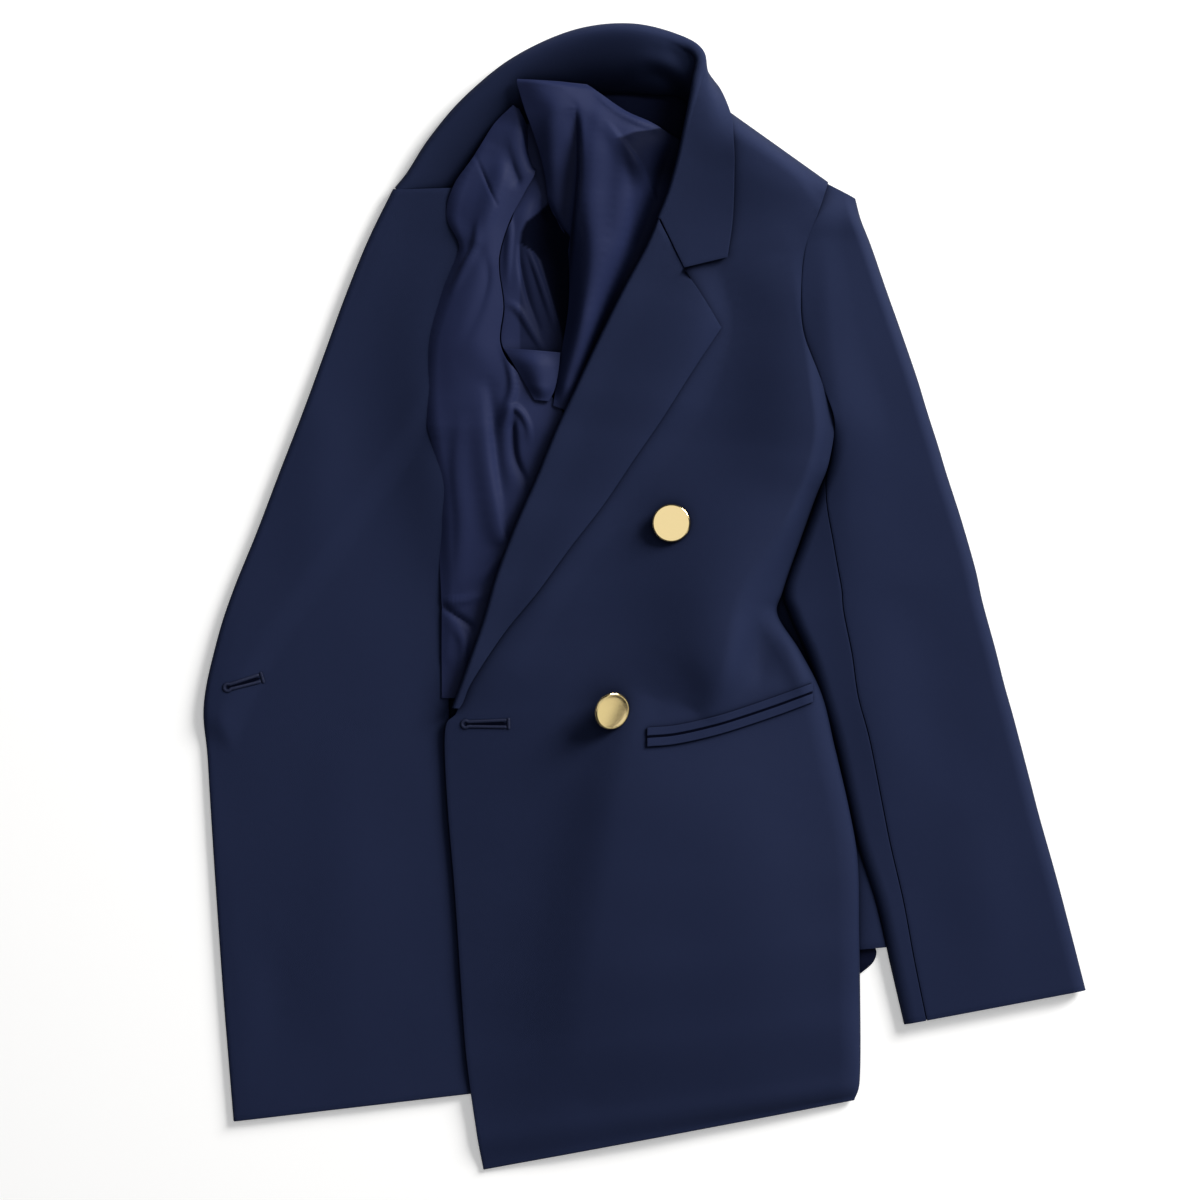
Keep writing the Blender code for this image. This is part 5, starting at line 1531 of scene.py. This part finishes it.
@dataclass
class Back:
    """Back on the floor, and the rounded layers between it and the left front."""

    front: LeftFront
    sleeve: RightSleeve
    # hem to shoulder and neck: left x, y, right x, y, how far the row bows up in its middle
    edges: Rows = (
        (-26, -338, 138, -340, -4), (-25, -300, 140, -300, 0), (-24, -250, 143, -240, 0),
        (-23, -190, 142.5, -185, 0), (-24, -135, 139, -140, 0), (-28, -85, 129.5, -95, 0),
        (-40, -36, 117, -45, 0), (-52, 6, 99.8, -4, 0), (-62, 50, 103.5, 40, 0),
        (-60, 90, 119, 84, 0), (-40, 132, 127, 118, 0), (-22, 170, 118, 150, 0),
        (-18, 208, 107.5, 185, 0), (-24, 248, 106, 220, 2), (-36, 284, 110.5, 250, 6),
        (-50, 316, 119, 270, 18), (-58, 338, 126, 283, 32),
    )
    rise: float = 3.6           # how far the back stands up at the shoulder
    rise_from: float = 14.4     # station from which it rises
    over_sleeve: tuple[float, float, float] = (3.0, 8.0, 0.5)   # margin, slope, ends of its rise
    # share of the height down from the top, and how far that level is set in from the edge
    layers: Rows = ((0, 5), (0.16, 1), (0.40, 0.2), (0.50, 2.6), (0.60, 0.4), (0.86, 0.8), (1, 3))
    left: float = 0.12          # the layers lie between these shares across the left front
    right: float = 0.90
    layers_over_sleeve: tuple[float, float] = (24.0, 46.0)      # margin and slope of their rise
    layers_rise: Rows = ((17, 0), (19, 1))      # station: share of the back's rise
    under_front: float = 1.0    # gap to the left front
    over_back: float = 1.2      # gap to the back
    thinnest: float = 1.2       # least thickness of the layers
    top_points: int = 24        # points across the top of the ring round them
    curve: Curve = field(init=False)

    def __post_init__(self) -> None:
        """Build the curve along the back."""
        self.curve = Curve(self.edges)

    def place(self, s: Array, t: Array) -> Point:
        """Point on the underside of the back.

        Args:
            s: station.
            t: share across.

        Returns:
            The point.
        """
        lx, ly, rx, ry, bow = self.curve.at(s)
        x, y = between((lx, ly), (rx, ry), t)
        y = y + bow * 4 * t * (1 - t)
        rise = self.rise * ease((s - self.rise_from) / (self.curve.last - self.rise_from))
        return x, y, np.maximum(rise, self.sleeve.hump(x, y, *self.over_sleeve))

    def layers_place(self, s: Array, around: Array) -> Point:
        """Ring round the hidden layers: along the top, down the right edge and back.

        Args:
            s: station.
            around: number of the point on the ring.

        Returns:
            The point.
        """
        ring = [(self.left + (self.right - self.left) * (k + 0.5) / self.top_points, 0.0, 0.0)
                for k in range(self.top_points)]
        ring += [(self.right, inset, share) for share, inset in self.layers]
        ring += [(self.left + self.right - t, 0.0, 1.0) for t, _, _ in ring[:self.top_points]]
        ring += [(self.left, -inset, 1.0 - share) for share, inset in self.layers]
        across, inset, down = np.array(ring + ring[:1])[around.astype(int)].T
        x, y, high = self.front.panel.place(s, across - inset / self.front.panel.width(s))
        high = high - self.under_front
        low = CLOTH + self.over_back + self.sleeve.hump(x, y, *self.layers_over_sleeve)
        low = np.maximum(low, ramp(self.layers_rise, s) * self.rise + CLOTH + REST)
        low = np.minimum(low, high - self.thinnest)
        return x, y, high + (low - high) * down

    def build(self) -> None:
        """Make the back and the layers over it."""
        sew("back", surface(self.place, stations(range(17), 0.1), shares((0, 1, 59))), SUITING, CLOTH)
        rows = stations([1.7, 2.1, *range(3, 19), 18.8, 19.25], 0.2)
        cols = np.arange(2 * (self.top_points + len(self.layers)) + 1)
        ring = close(grid(surface(self.layers_place, rows, cols), around=True))
        layers = piece("hidden_layers_cloth", ring, SUITING, "hidden_layers")


# ------------ left sleeve

@dataclass
class LeftSleeve:
    """Left sleeve: the top sleeve and the under sleeve that meets it along two seams."""

    # armhole to cuff: left x, y, right x, y, height at the left, height in the middle,
    # where the forearm seam lies across, how far the left edge is turned under
    rows: Rows = (
        (126.8, 289.4, 147, 279, 7.8, 7.8, 0, 0), (119.9, 268.4, 151, 264, 19.2, 17.5, 0, 0),
        (112, 246.2, 158, 246, 19.8, 17.5, 0, 0), (108.7, 215, 168, 217, 19.8, 17, 0, 0),
        (110.7, 183, 179, 186, 19.2, 16, 0, 0), (123.7, 147, 190, 154, 18.8, 15, 0, 0),
        (131.7, 122, 197, 131, 17.5, 14, 0, 0), (127.7, 95, 205, 106, 14.5, 13.2, 0, 0.4),
        (119, 72, 211, 86, 12.8, 12.8, 0.08, 1), (107.2, 38, 221, 55, 12, 12.2, 0.21, 1),
        (96.4, 6, 231, 20, 11, 11.6, 0.30, 1), (101, -12, 236, -3, 11, 11.2, 0.28, 1),
        (113, -40, 245, -36, 10.8, 11, 0.24, 1), (122.7, -71, 251, -60, 10.4, 10.8, 0.205, 1),
        (131.7, -102, 258, -85, 10, 10.5, 0.20, 1), (141.6, -147, 269, -127, 9.8, 10.2, 0.19, 1),
        (148.4, -175, 276, -154, 9.6, 9.8, 0.18, 1), (162, -215, 287, -193, 9.2, 9.4, 0.15, 1),
        (171, -255, 297, -231, 8.6, 8.8, 0.136, 1), (181, -298, 308, -274, 8.2, 8.2, 0.126, 1),
    )
    turn: float = 10.0          # how far in from an edge the upper side starts to turn down
    sole: float = 9.0           # how far in from an edge the lower side reaches the floor
    side_z: float = 3.9         # height of the edges
    crown: float = 0.6          # share across where the upper side has its middle height
    hind_seam: float = 0.87     # where the hind-arm seam lies across, underneath
    hind_least: float = 9.0     # and its least distance from the right edge
    seam_step: float = 0.75     # gap between the two pieces at a seam
    lip: Rows = ((1, 0), (1.3, 2.7), (2, 3.6))    # rise of the under sleeve at the armhole
    narrow: Rows = ((20, 1), (60, 0))   # width: share of even spacing of its columns
    hind_pack: float = 1.2      # power that packs columns towards the right edge, underneath
    left_pack: float = 1.7      # the same towards the left edge, on the upper side
    creases: tuple[Crease, ...] = creased(
        # rounded head and the long ridge that runs on from it
        ((128, 250, 0.6, 24, 12), (129, 208, 2.6, 32, 14), (136, 145, 2.8, 36, 16),
         (143, 80, 2.8, 36, 20), (145, 26, 2.4, 32, 22), (150, -29, 1.6, 30, 20),
         (161, -88, 1.2, 26, 16), (172, -150, 0.4, 20, 14)),
        # shallow bend at the elbow
        ((182, 10, 0.2, 26, 20), (196, -40, -1.6, 34, 26), (206, -95, -1.4, 34, 26),
         (220, -150, -0.2, 26, 20)),
        ((214, -120, 0.2, 20, 24), (232, -190, 1.4, 24, 30), (240, -250, 0.8, 24, 26),
         (246, -285, 0, 20, 20)),
    )
    ripple: Ripple = Ripple(0.3, turn=0.4)
    curve: Curve = field(init=False)

    def __post_init__(self) -> None:
        """Build the curve along the sleeve."""
        self.curve = Curve(self.rows)

    def width(self, s: Array) -> Array:
        """Distance between the edges at station s."""
        lx, ly, rx, ry = self.curve.at(s)[:4]
        return np.hypot(rx - lx, ry - ly)

    def upper(self, s: Array, c: Array) -> Point:
        """Point on the sleeve's upper side, c across from its left edge to its right edge.

        Args:
            s: station from armhole to cuff.
            c: share across.

        Returns:
            The point.
        """
        lx, ly, rx, ry, left, middle, _, turned = self.curve.at(s)
        x, y = between((lx, ly), (rx, ry), c)
        high = left + (middle - left) * ease(c / self.crown) + self.ripple.lift(x, y)
        high, width = raised(high, self.creases, x, y), self.width(s)
        right = quarter((1.0 - c) * width / self.turn)
        under = 1.0 - turned * (1.0 - quarter(c * width / self.turn))
        return x, y, self.side_z + (high - self.side_z) * right * under

    def lower(self, s: Array, c: Array) -> Point:
        """Point on the sleeve's lower side, on the floor between its rounded edges.

        Args:
            s: station from armhole to cuff.
            c: share across.

        Returns:
            The point.
        """
        lx, ly, rx, ry, _, _, _, turned = self.curve.at(s)
        width = self.width(s)
        right = 1.0 - np.minimum(1.0, (1.0 - c) * width / self.sole)
        left = turned * (1.0 - np.minimum(1.0, c * width / self.sole))
        return *between((lx, ly), (rx, ry), c), self.side_z * np.maximum(right, left) ** 2

    def top_place(self, s: Array, t: Array) -> Point:
        """Point of the top sleeve: 0 forearm seam, 1 right edge, 2 hind-arm seam underneath.

        Args:
            s: station.
            t: part of the way.

        Returns:
            The point.
        """
        seam, width = self.curve.at(s)[6], self.width(s)
        narrow = ramp(self.narrow, width)
        share = np.sin(np.minimum(t, 1.0) * math.pi / 2) * (1.0 - narrow) + t * narrow
        reach = np.maximum(1.0 - self.hind_seam, self.hind_least / width)
        high = self.upper(s, seam + (1.0 - seam) * np.minimum(share, 1.0))
        low = self.lower(s, 1.0 - reach * np.maximum(t - 1.0, 0.0) ** self.hind_pack)
        return tuple(np.where(t <= 1.0, a, b) for a, b in zip(high, low))

    def under_place(self, s: Array, t: Array) -> Point:
        """Point of the under sleeve: 0 hind-arm seam, 1 left edge, 2 forearm seam or armhole.

        Args:
            s: station.
            t: part of the way.

        Returns:
            The point.
        """
        seam, turned = self.curve.at(s)[6:]
        width = self.width(s)
        hind = np.minimum(self.hind_seam, 1.0 - self.hind_least / width) - self.seam_step / width
        low = self.lower(s, hind * np.cos(np.minimum(t, 1.0) * math.pi / 2))
        reach = np.maximum(seam - self.seam_step / width, 0.0)
        wrap = self.upper(s, reach * np.maximum(t - 1.0, 0.0) ** self.left_pack)
        x, y, z = self.lower(s, np.zeros(s.shape))
        edge = between((x, y, z + ramp(self.lip, t)), wrap, ease(turned))
        return tuple(np.where(t <= 1.0, a, b) for a, b in zip(low, edge))

    def build(self) -> None:
        """Make both sleeve pieces."""
        rows = stations([0, 0.3, 0.7, *range(1, 20)], 0.09)
        points = surface(self.top_place, rows, shares((0, 1, 69), (1, 2, 25)))
        sew("left_top_sleeve", points, SUITING, SLEEVE_WALL)
        points = surface(self.under_place, rows[rows >= 1.0], shares((0, 1, 49), (1, 2, 33)))
        sew("left_under_sleeve", points, SUITING, SLEEVE_WALL)


# ------------ linings

@dataclass
class Linings:
    """Lining pieces that show between the fronts and in the armhole."""

    front_creases: tuple[Crease, ...] = creased(
        # it stands highest a little inside the facing and falls away to the armhole
        ((-108, 318, 1.5, 24, 8), (-125, 287, 4.2, 32, 9), (-130, 262, 4.8, 34, 10),
         (-124, 240, 4.6, 30, 10), (-132, 212, 5.6, 36, 11), (-142, 180, 6.2, 44, 12),
         (-144, 145, 6.2, 46, 12), (-141, 108, 5.8, 46, 12), (-136, 75, 4.8, 42, 10),
         (-135, 40, 3.6, 32, 9), (-134, 5, 2, 20, 8), (-136, -40, 1, 10, 6)),
        # its edge lies on the raised edge of the facing
        ((-115, 312, 1, 8, 10), (-133, 287, 2.6, 8, 10), (-138, 266, 2.4, 8, 10),
         (-129, 245, 2.6, 8, 10), (-137, 230, 1.6, 8, 10), (-150, 195, 1, 8, 10),
         (-153, 150, 1.2, 8, 10), (-148, 105, 1.2, 8, 10), (-144, 60, 0.6, 8, 10)),
        # shoulder seam of the lining
        ((-119, 309, -0.2, 1, 1), (-110, 289, -1.1, 1.2, 1.2), (-103.6, 273.5, -0.6, 1, 1)),
        # dark wedge beside the back's lining
        ((-84, 336, -1, 4, 2), (-82, 325, -5, 5, 3), (-80.5, 312, -6.5, 5, 4),
         (-77.5, 302, -5, 4, 4)),
        # soft folds from the shoulder
        ((-97, 318, -0.3, 4, 5), (-94, 304, -2.4, 4, 7), (-89, 292, -2.2, 3, 6)),
        ((-92, 322, 0.3, 5, 6), (-99, 296, 1.8, 5, 8), (-108, 270, 2.2, 6, 8), (-116, 250, 1, 5, 6)),
        ((-116, 262, 0.2, 3, 2), (-119, 244, 1.8, 4, 2.4), (-127, 228, 1.6, 4, 2.4),
         (-134, 214, 0.3, 3, 3)),
        ((-112, 240, -0.2, 3, 4), (-110, 222, -1.2, 3, 5), (-116, 200, -1, 4, 6),
         (-126, 178, -0.2, 4, 5)),
        # crumple under the armhole
        ((-99, 176, 0.3, 3, 3), (-92, 150, 2.4, 3, 3), (-96, 132, 2, 3, 4), (-101, 116, 0.4, 3, 4)),
        ((-98, 118, 0.2, 2, 2), (-93, 131.5, 2.4, 2.5, 2), (-87, 130, 2.6, 2, 2.5),
         (-82, 121, 1.4, 2, 2), (-80, 110, 0.2, 2, 3)),
        ((-91.5, 124, -0.6, 2, 3), (-91.5, 117, -3, 2, 4), (-89.5, 97, -2.8, 2, 5),
         (-80.5, 78, -1.4, 2, 4), (-74, 66, -0.2, 2, 3)),
        ((-109, 150, -0.3, 5, 4), (-106, 124, -2.4, 6, 4), (-103, 92, -2.2, 6, 4),
         (-98, 66, -0.3, 5, 4)),
        # long ridge down to the break and its branches
        ((-115, 140, 0.6, 6, 9), (-110, 96, 2.4, 5, 10), (-101.5, 48, 2.8, 3.5, 10),
         (-95, 37, 2.4, 3, 6), (-108, 22, 1.6, 5, 5), (-126, 9, 0.3, 4, 4)),
        ((-128, 130, 0.2, 7, 5), (-131, 90, 1.4, 8, 5), (-128, 50, 1.2, 8, 5), (-131, 14, 0.2, 6, 4)),
        ((-142, -3, 0.8, 2, 3), (-126, -1, 1.6, 2, 3), (-109, 4, 0.8, 2, 3)),
        ((-142, -4, -0.8, 3, 2), (-136, -10, -2, 3, 2), (-122.5, -19, -2.4, 3, 2.5),
         (-118, -24, -0.5, 3, 2)),
        ((-134, -18, 0.3, 3, 4), (-127, -30, 1.6, 3, 4), (-127, -48, 0.8, 3, 4)),
    )
    sleeve_creases: tuple[Crease, ...] = creased(
        ((-97, 272, 0.2, 2, 3), (-94, 258, 1.4, 2, 3), (-95, 240, 1.2, 2, 3), (-96, 220, 0.2, 2, 3)),
        ((-83, 246, 0.6, 2, 2), (-77, 232, 2.4, 1.8, 2.4), (-70, 212, 2.2, 1.8, 2.6),
         (-63, 190, 0.8, 2, 2)),
        ((-88, 246, -0.5, 2, 1.2), (-87, 230, -2.4, 3.5, 1.6), (-82, 208, -2.2, 3.5, 2),
         (-74, 188, -0.8, 2, 2)),
        ((-97, 206, 0.3, 2, 2), (-88, 200, 1.8, 2, 2), (-78, 184, 1.6, 2, 2), (-72, 174, 0.3, 2, 2)),
    )
    # rising y, and the x from which the sleeve's mouth and the cloth under the roll are darkened with
    # painted shade
    mouth: Rows = ((150, 177, 191, 218, 235, 241, 247, 255, 262, 269, 276, 300),
                   (-60, -58, -61, -69, -74, -79, -88, -87, -84, -76, -68, -58))
    under_roll: Rows = ((150, 188, 209, 237, 261, 279, 293, 307, 318, 323, 330),
                        (-44, -35, -28, -17, -13, -13, -15, -19, -23, -12, 25))
    mouth_lead: float = 1.0     # the mouth's painted shade sets in this far before its edge
    mouth_fade: float = 3.0     # and takes this far to be full
    roll_fade: float = 7.0      # the same for the painted shade under the roll
    roll_dark: Rows = ((280, 0.3), (300, 0.8))      # y: how dark the painted shade under the roll is
    roll_from: Rows = ((150, 0), (190, 1))      # y: share of that painted shade
    fold_dark: Rows = ((-88.5, 0), (-86.5, 0.45))     # x: how dark the painted shade on the folds before the mouth is
    fold_to: Rows = ((246, 1), (250, 0))        # y: share of that painted shade
    # the whole neck lining is darkened with painted shade
    neck_dark: float = 0.94
    back_creases: tuple[Crease, ...] = creased(
        # valley that the big fold lies over
        ((-49, 340, -0.5, 2.6, 9), (-47.5, 324, -5, 2.4, 12), (-47, 300, -8, 2.2, 13),
         (-48.5, 279, -9, 2.2, 12), (-51, 254, -8, 2, 8), (-52.6, 232, -3, 2, 5),
         (-53, 215, -0.5, 2, 4)),
        # the big fold
        ((-30, 344, 0.2, 14, 5), (-34, 314, 2.4, 14, 10), (-37, 280, 3.2, 13, 10),
         (-40, 240, 3, 12, 9), (-43, 200, 2, 10, 7), (-46, 165, 0.5, 8, 6)),
        # hollow along the lapel's roll
        ((19, 318, -2, 8, 12), (13, 300, -8, 10, 14), (3, 270, -9.5, 12, 12),
         (-9, 240, -9.5, 12, 10), (-22, 208, -8, 12, 9), (-36, 168, -5, 8, 6),
         (-46, 140, -1.5, 6, 4)),
        # flap of cloth at the neck, and the short fold below it
        ((-10, 334, 0.5, 12, 12), (-13, 302, 4, 14, 14), (-19, 266, 4.6, 13, 13),
         (-27, 226, 3, 10, 10), (-36, 186, 0.5, 8, 8)),
        ((-28, 330, 0.3, 2.5, 6), (-20, 320, 1.8, 2.2, 7), (-8, 304, 2.6, 1.8, 8),
         (4, 284, 1.6, 1.6, 6), (9, 272, 0.2, 2, 4)),
        ((-36, 352, 0.2, 3, 3), (-24, 341, 1.6, 3, 3), (-8, 332, 1.8, 2.5, 3), (8, 326, 0.8, 2, 3)),
        ((-68, 278, -0.6, 1.5, 2), (-62.5, 267, -3, 1.5, 2.2), (-53, 252, -2, 1.5, 2)),
        ((-62, 345, 0.2, 6, 6), (-66, 322, 1.6, 7, 6), (-64, 296, 1.8, 7, 6), (-62, 272, 0.6, 5, 5)),
    )

    def panels(self) -> list[tuple[str, Panel, float, Cut]]:
        """Names, panels, row steps and cuts of the lining pieces.

        Returns:
            A row for each piece.
        """
        front = Panel(
            edges=[
                (-142, -70, -129, -70), (-142, -36, -111, -36), (-142, -4, -97, -2),
                (-144, 40, -82, 42), (-144, 72, -70, 72), (-148, 105, -60, 104),
                (-152, 122, -55, 122), (-153, 140, -66, 141), (-153, 158, -88.5, 156),
                (-152, 180, -101, 177), (-147, 209, -99, 203), (-137, 230, -102, 228),
                (-129, 245, -101, 243), (-138, 266, -94, 264), (-133, 287, -84, 283),
                (-120, 306, -76, 300), (-105, 330, -80, 322), (-92, 343, -88, 340),
            ],
            heights=[
                (0, 4.5, 4.6, 4.6, 4.6), (2, 4.5, 5.6, 6, 5.4), (4, 4.6, 8, 9.5, 8),
                (6, 7.4, 11, 12.5, 10.2), (7, 7.6, 11.6, 12, 10.2), (9, 8, 12.5, 15.5, 14),
                (11, 8, 12.5, 15, 14), (13, 8, 12, 14.5, 13), (14, 8.8, 12, 14.5, 12.6),
                (15, 10.6, 12.8, 14.5, 12), (16, 13, 14.2, 14.8, 12.8), (17, 15.6, 15.8, 15.8, 15.4),
            ], creases=self.front_creases)
        back = Panel(
            edges=[
                (-64, 134, -46, 127), (-61, 150, -36, 148), (-57, 175, -24, 174),
                (-53, 200, -12, 198), (-52, 225, 0, 223), (-54, 247, 9, 246), (-61, 262, 17, 266),
                (-67, 277, 23, 286), (-69, 292, 27, 304), (-72, 306, 26, 316), (-77, 322, 18, 322),
                (-83, 338, 4, 330), (-87, 351, -14, 338), (-89, 358, -32.5, 351),
                (-88.5, 360.5, -41, 357),
            ],
            heights=[
                (0, 12, 12.5, 12, 10.5, 9.5), (1, 11, 16, 14.5, 12, 10.5),
                (3, 11, 21, 18, 15.5, 12.5), (5, 11, 24, 21, 19.5, 14.5), (7, 13, 26, 23, 21, 16.5),
                (9, 16, 27, 25, 22, 17.5), (11, 20, 26, 25, 21.5, 17.5),
                (13, 21, 24.5, 24, 20.5, 16.5), (14, 20.2, 22.6, 21.6, 18.5, 15.4),
            ], creases=self.back_creases)
        sleeve = Panel(
            edges=[
                (-90, 160, -56, 158), (-100.4, 178, -47, 178), (-98.2, 203, -45, 202),
                (-101.2, 228, -45, 227), (-100.2, 243, -46, 242), (-93.2, 264, -53, 264),
                (-86.6, 283, -60, 283), (-87, 302, -62, 302), (-85.5, 330, -73, 332),
            ],
            heights=[
                (0, 12, 8.5, 6.8, 6.5, 7.5), (1, 12, 9.5, 7.5, 6.2, 6.5), (2, 12.5, 11, 8, 6, 6),
                (3, 12.5, 12.5, 8, 5.8, 6), (4, 12.5, 12.3, 6.2, 5.8, 6),
                (5, 12.5, 12.3, 6.5, 6, 7), (6, 10, 10, 10, 9.5, 9), (8, 8.6, 8.8, 8.8, 8.6, 8.4),
            ], creases=self.sleeve_creases)
        fold = Panel(
            edges=[
                (-77, 138, -67, 137), (-83, 149, -63, 147), (-91.5, 163, -60.5, 160),
                (-98.5, 174, -59.2, 171),
            ],
            heights=[
                (0, 13, 13.6, 13.1), (1, 13.5, 17, 12.8), (2, 14, 18, 12.5), (3, 14.5, 15.5, 12.5),
            ])
        neck = Panel(
            edges=[
                (-129, 258, -84, 261), (-119, 296, 20, 300), (-101, 325, 31, 322),
                (-100, 351, 32, 360),
            ],
            heights=[(0, 6, 5.6, 5.4), (1, 4.2, 7, 9), (2, 4, 7.6, 9), (3, 4.4, 6.6, 7.4)])
        return [
            ("front_lining", front, 0.06, Cut(0.12, 0.42, 0.024, rests_on=("right_front",))),
            ("back_lining", back, 0.06, Cut(0.12, 0.24, 0.018, Held.FOLDED, ("hidden_layers",))),
            ("sleeve_lining", sleeve, 0.08, Cut(0.06, 0.13, 0.0068, rests_on=("right_sleeve",))),
            ("sleeve_lining_fold", fold, 0.08,
             Cut(0.04, 0.04, 0.00105, Held.FOLDED, ("sleeve_lining",))),
            ("neck_lining", neck, 0.05, Cut(0.140, 0.103, 0.0102, rests_on=("back",))),
        ]

    def painted_shade(self, name: str, points: Array) -> Array:
        """Painted shade on the points of a piece: at the sleeve's mouth, on the neck lining and under
        the roll.

        Args:
            name: the piece's name.
            points: (rows, columns, 3) in millimetres.

        Returns:
            0 for no painted shade to 1 for full painted shade.
        """
        x, y = points[..., 0], points[..., 1]
        if name == "neck_lining":
            return np.full(x.shape, self.neck_dark)
        if name == "back_lining":
            inside = ease((x - np.interp(y, *self.under_roll)) / self.roll_fade)
            return ramp(self.roll_dark, y) * inside * ramp(self.roll_from, y)
        if name == "sleeve_lining":
            hole = ease((x - np.interp(y, *self.mouth) + self.mouth_lead) / self.mouth_fade)
            return np.maximum(hole, ramp(self.fold_dark, x) * ramp(self.fold_to, y))
        return np.zeros(x.shape)

    def build(self) -> None:
        """Make the lining pieces."""
        for name, panel, step, cut in self.panels():
            rows = stations(range(panel.edges.last + 1), step)
            points = surface(panel.place, rows, shares((0, 1, 89)))
            # each lining piece gets its painted shade as an attribute
            sew(name, points, SATIN, LINING, painted_shade=self.painted_shade(name, points))


# ------------ buttons

@dataclass
class Buttons:
    """Flat metal buttons with rounded rims, on the left front."""

    front: LeftFront
    radius: float = 13.3
    high: float = 3.2           # thickness of the disc
    rim: float = 1.3            # radius of the rounded rim
    rim_width: float = 2.0      # from the outside to the face
    step: float = 0.1           # how far the face lies below the rim
    dish: float = 0.3           # how far the face is sunk in its middle
    shank_r: float = 3.2
    shank_h: float = 1.6
    # name, x, y, tilt in degrees, turn of the tilt's axis from the garment's length,
    # lift of the underside
    places: Sequence[tuple[str, float, float, float, float, float]] = (
        ("button_upper", 18, 52, 0.0, 0.0, 2.2), ("button_lower", -24, -78, 30.0, -25.0, 6.7),
    )

    def profile(self) -> list[tuple[float, float]]:
        """Distance from the axis and height over the disc's underside, top to shank.

        Returns:
            (distance, height) pairs in millimetres.
        """
        r, h = self.radius, self.high
        face, face_h = r - self.rim_width, h - self.step
        dish = [(r * u, face_h - self.dish * (1 - (r * u / face) ** 2))
                for u in (0, 0.17, 0.34, 0.51, 0.68)]
        rim = [(r + self.rim * (math.sin(a) - 1), h + self.rim * (math.cos(a) - 1))
               for a in np.linspace(0, math.pi / 2, 7)]
        return [*dish, (face, face_h), *rim, (r - 0.2, 1.0), (r - 1.4, 0.2), (self.shank_r, 0.0),
                (self.shank_r * 0.8, -self.shank_h), (0.0, -self.shank_h)]

    def build(self) -> None:
        """Make the buttons."""
        for name, x, y, tilt, aside, lift in self.places:
            bm = bmesh.new()
            verts = [bm.verts.new((r * MM, 0.0, z * MM)) for r, z in self.profile()]
            edges = [bm.edges.new(pair) for pair in zip(verts, verts[1:])]
            bmesh.ops.spin(bm, geom=verts + edges, cent=(0, 0, 0), axis=(0, 0, 1),
                           angle=2 * math.pi, steps=96, use_merge=True)
            bmesh.ops.remove_doubles(bm, verts=bm.verts, dist=0.000002)
            bmesh.ops.recalc_face_normals(bm, faces=bm.faces)
            seat = (self.front.panel.top(np.array([float(x)]), np.array([float(y)]))[0] + lift) * MM
            axis = Matrix.Rotation(math.radians(aside), 3, "Z") @ Vector((0.0, 1.0, 0.0))
            leaning = Matrix.Rotation(math.radians(tilt), 4, axis)
            bmesh.ops.transform(bm, matrix=Matrix.Translation((x * MM, y * MM, seat)) @ leaning,
                                verts=bm.verts)
            piece(f"{name}_metal", bm, GOLD, name)


# ------------ studio

@dataclass
class Studio:
    """Pale floor, soft lights and the camera straight above."""

    centre: tuple[float, float] = (-0.0315, -0.0014)
    view: float = 0.84
    lens: float = 120.0
    sensor: float = 36.0
    # name, position, watts, size, colour
    lights: Sequence[tuple[str, Sequence[float], float, float, Sequence[float]]] = (
        ("key", (2.9, 2.4, 1.75), 285.0, 1.8, (1.0, 0.99, 0.97)),
        ("overhead", (0.0, 0.0, 3.0), 18.0, 2.4, (0.97, 0.98, 1.0)),
        ("low_card", (2.093, -0.976, 0.957), 1.5, 0.75, (1.0, 1.0, 0.92)),
        ("high_card", (1.730, -0.807, 1.614), 0.76, 0.5, (1.0, 1.0, 1.0)),
    )
    sky: float = 0.05
    floor_half: float = 6.0
    floor_drop: float = 0.0002  # the floor lies this far below the cloth

    def floor(self) -> None:
        """Make the floor."""
        bm = bmesh.new()
        bmesh.ops.create_grid(bm, x_segments=1, y_segments=1, size=self.floor_half)
        obj = add_mesh("floor", bm, FLOOR)
        obj.location.z = -self.floor_drop

    def light(self) -> None:
        """Make the lights and the sky."""
        for name, place, watts, size, colour in self.lights:
            lamp = bpy.data.lights.new(name, "AREA")
            lamp.energy, lamp.size, lamp.color = watts, size, colour
            obj = add_object(name, lamp)
            obj.location = place
            obj.rotation_euler = Vector(place).to_track_quat("Z", "Y").to_euler()
        world = bpy.data.worlds.new("sky")
        world.use_nodes = True
        Nodes(world.node_tree).fill(world.node_tree.nodes["Background"], {0: WHITE, 1: self.sky})
        bpy.context.scene.world = world
        bpy.context.scene.view_settings.view_transform = "Standard"

    def camera(self) -> None:
        """Make the camera."""
        data = bpy.data.cameras.new("camera")
        data.lens, data.sensor_width = self.lens, self.sensor
        data.clip_end = 20.0
        obj = add_object("camera", data)
        obj.location = (*self.centre, self.view * self.lens / self.sensor)
        bpy.context.scene.camera = obj

    def build(self) -> None:
        """Make the studio."""
        self.floor()
        self.light()
        self.camera()


def main() -> None:
    """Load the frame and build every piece."""
    logging.basicConfig(level=logging.INFO, format="%(name)s %(message)s")
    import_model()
    Studio().build()
    front = LeftFront()
    front.build()
    sleeve = RightSleeve()
    sleeve.build()
    RightFront().build()
    Collar(front).build()
    Back(front, sleeve).build()
    LeftSleeve().build()
    Linings().build()
    Buttons(front).build()


if __name__ == "__main__":
    main()
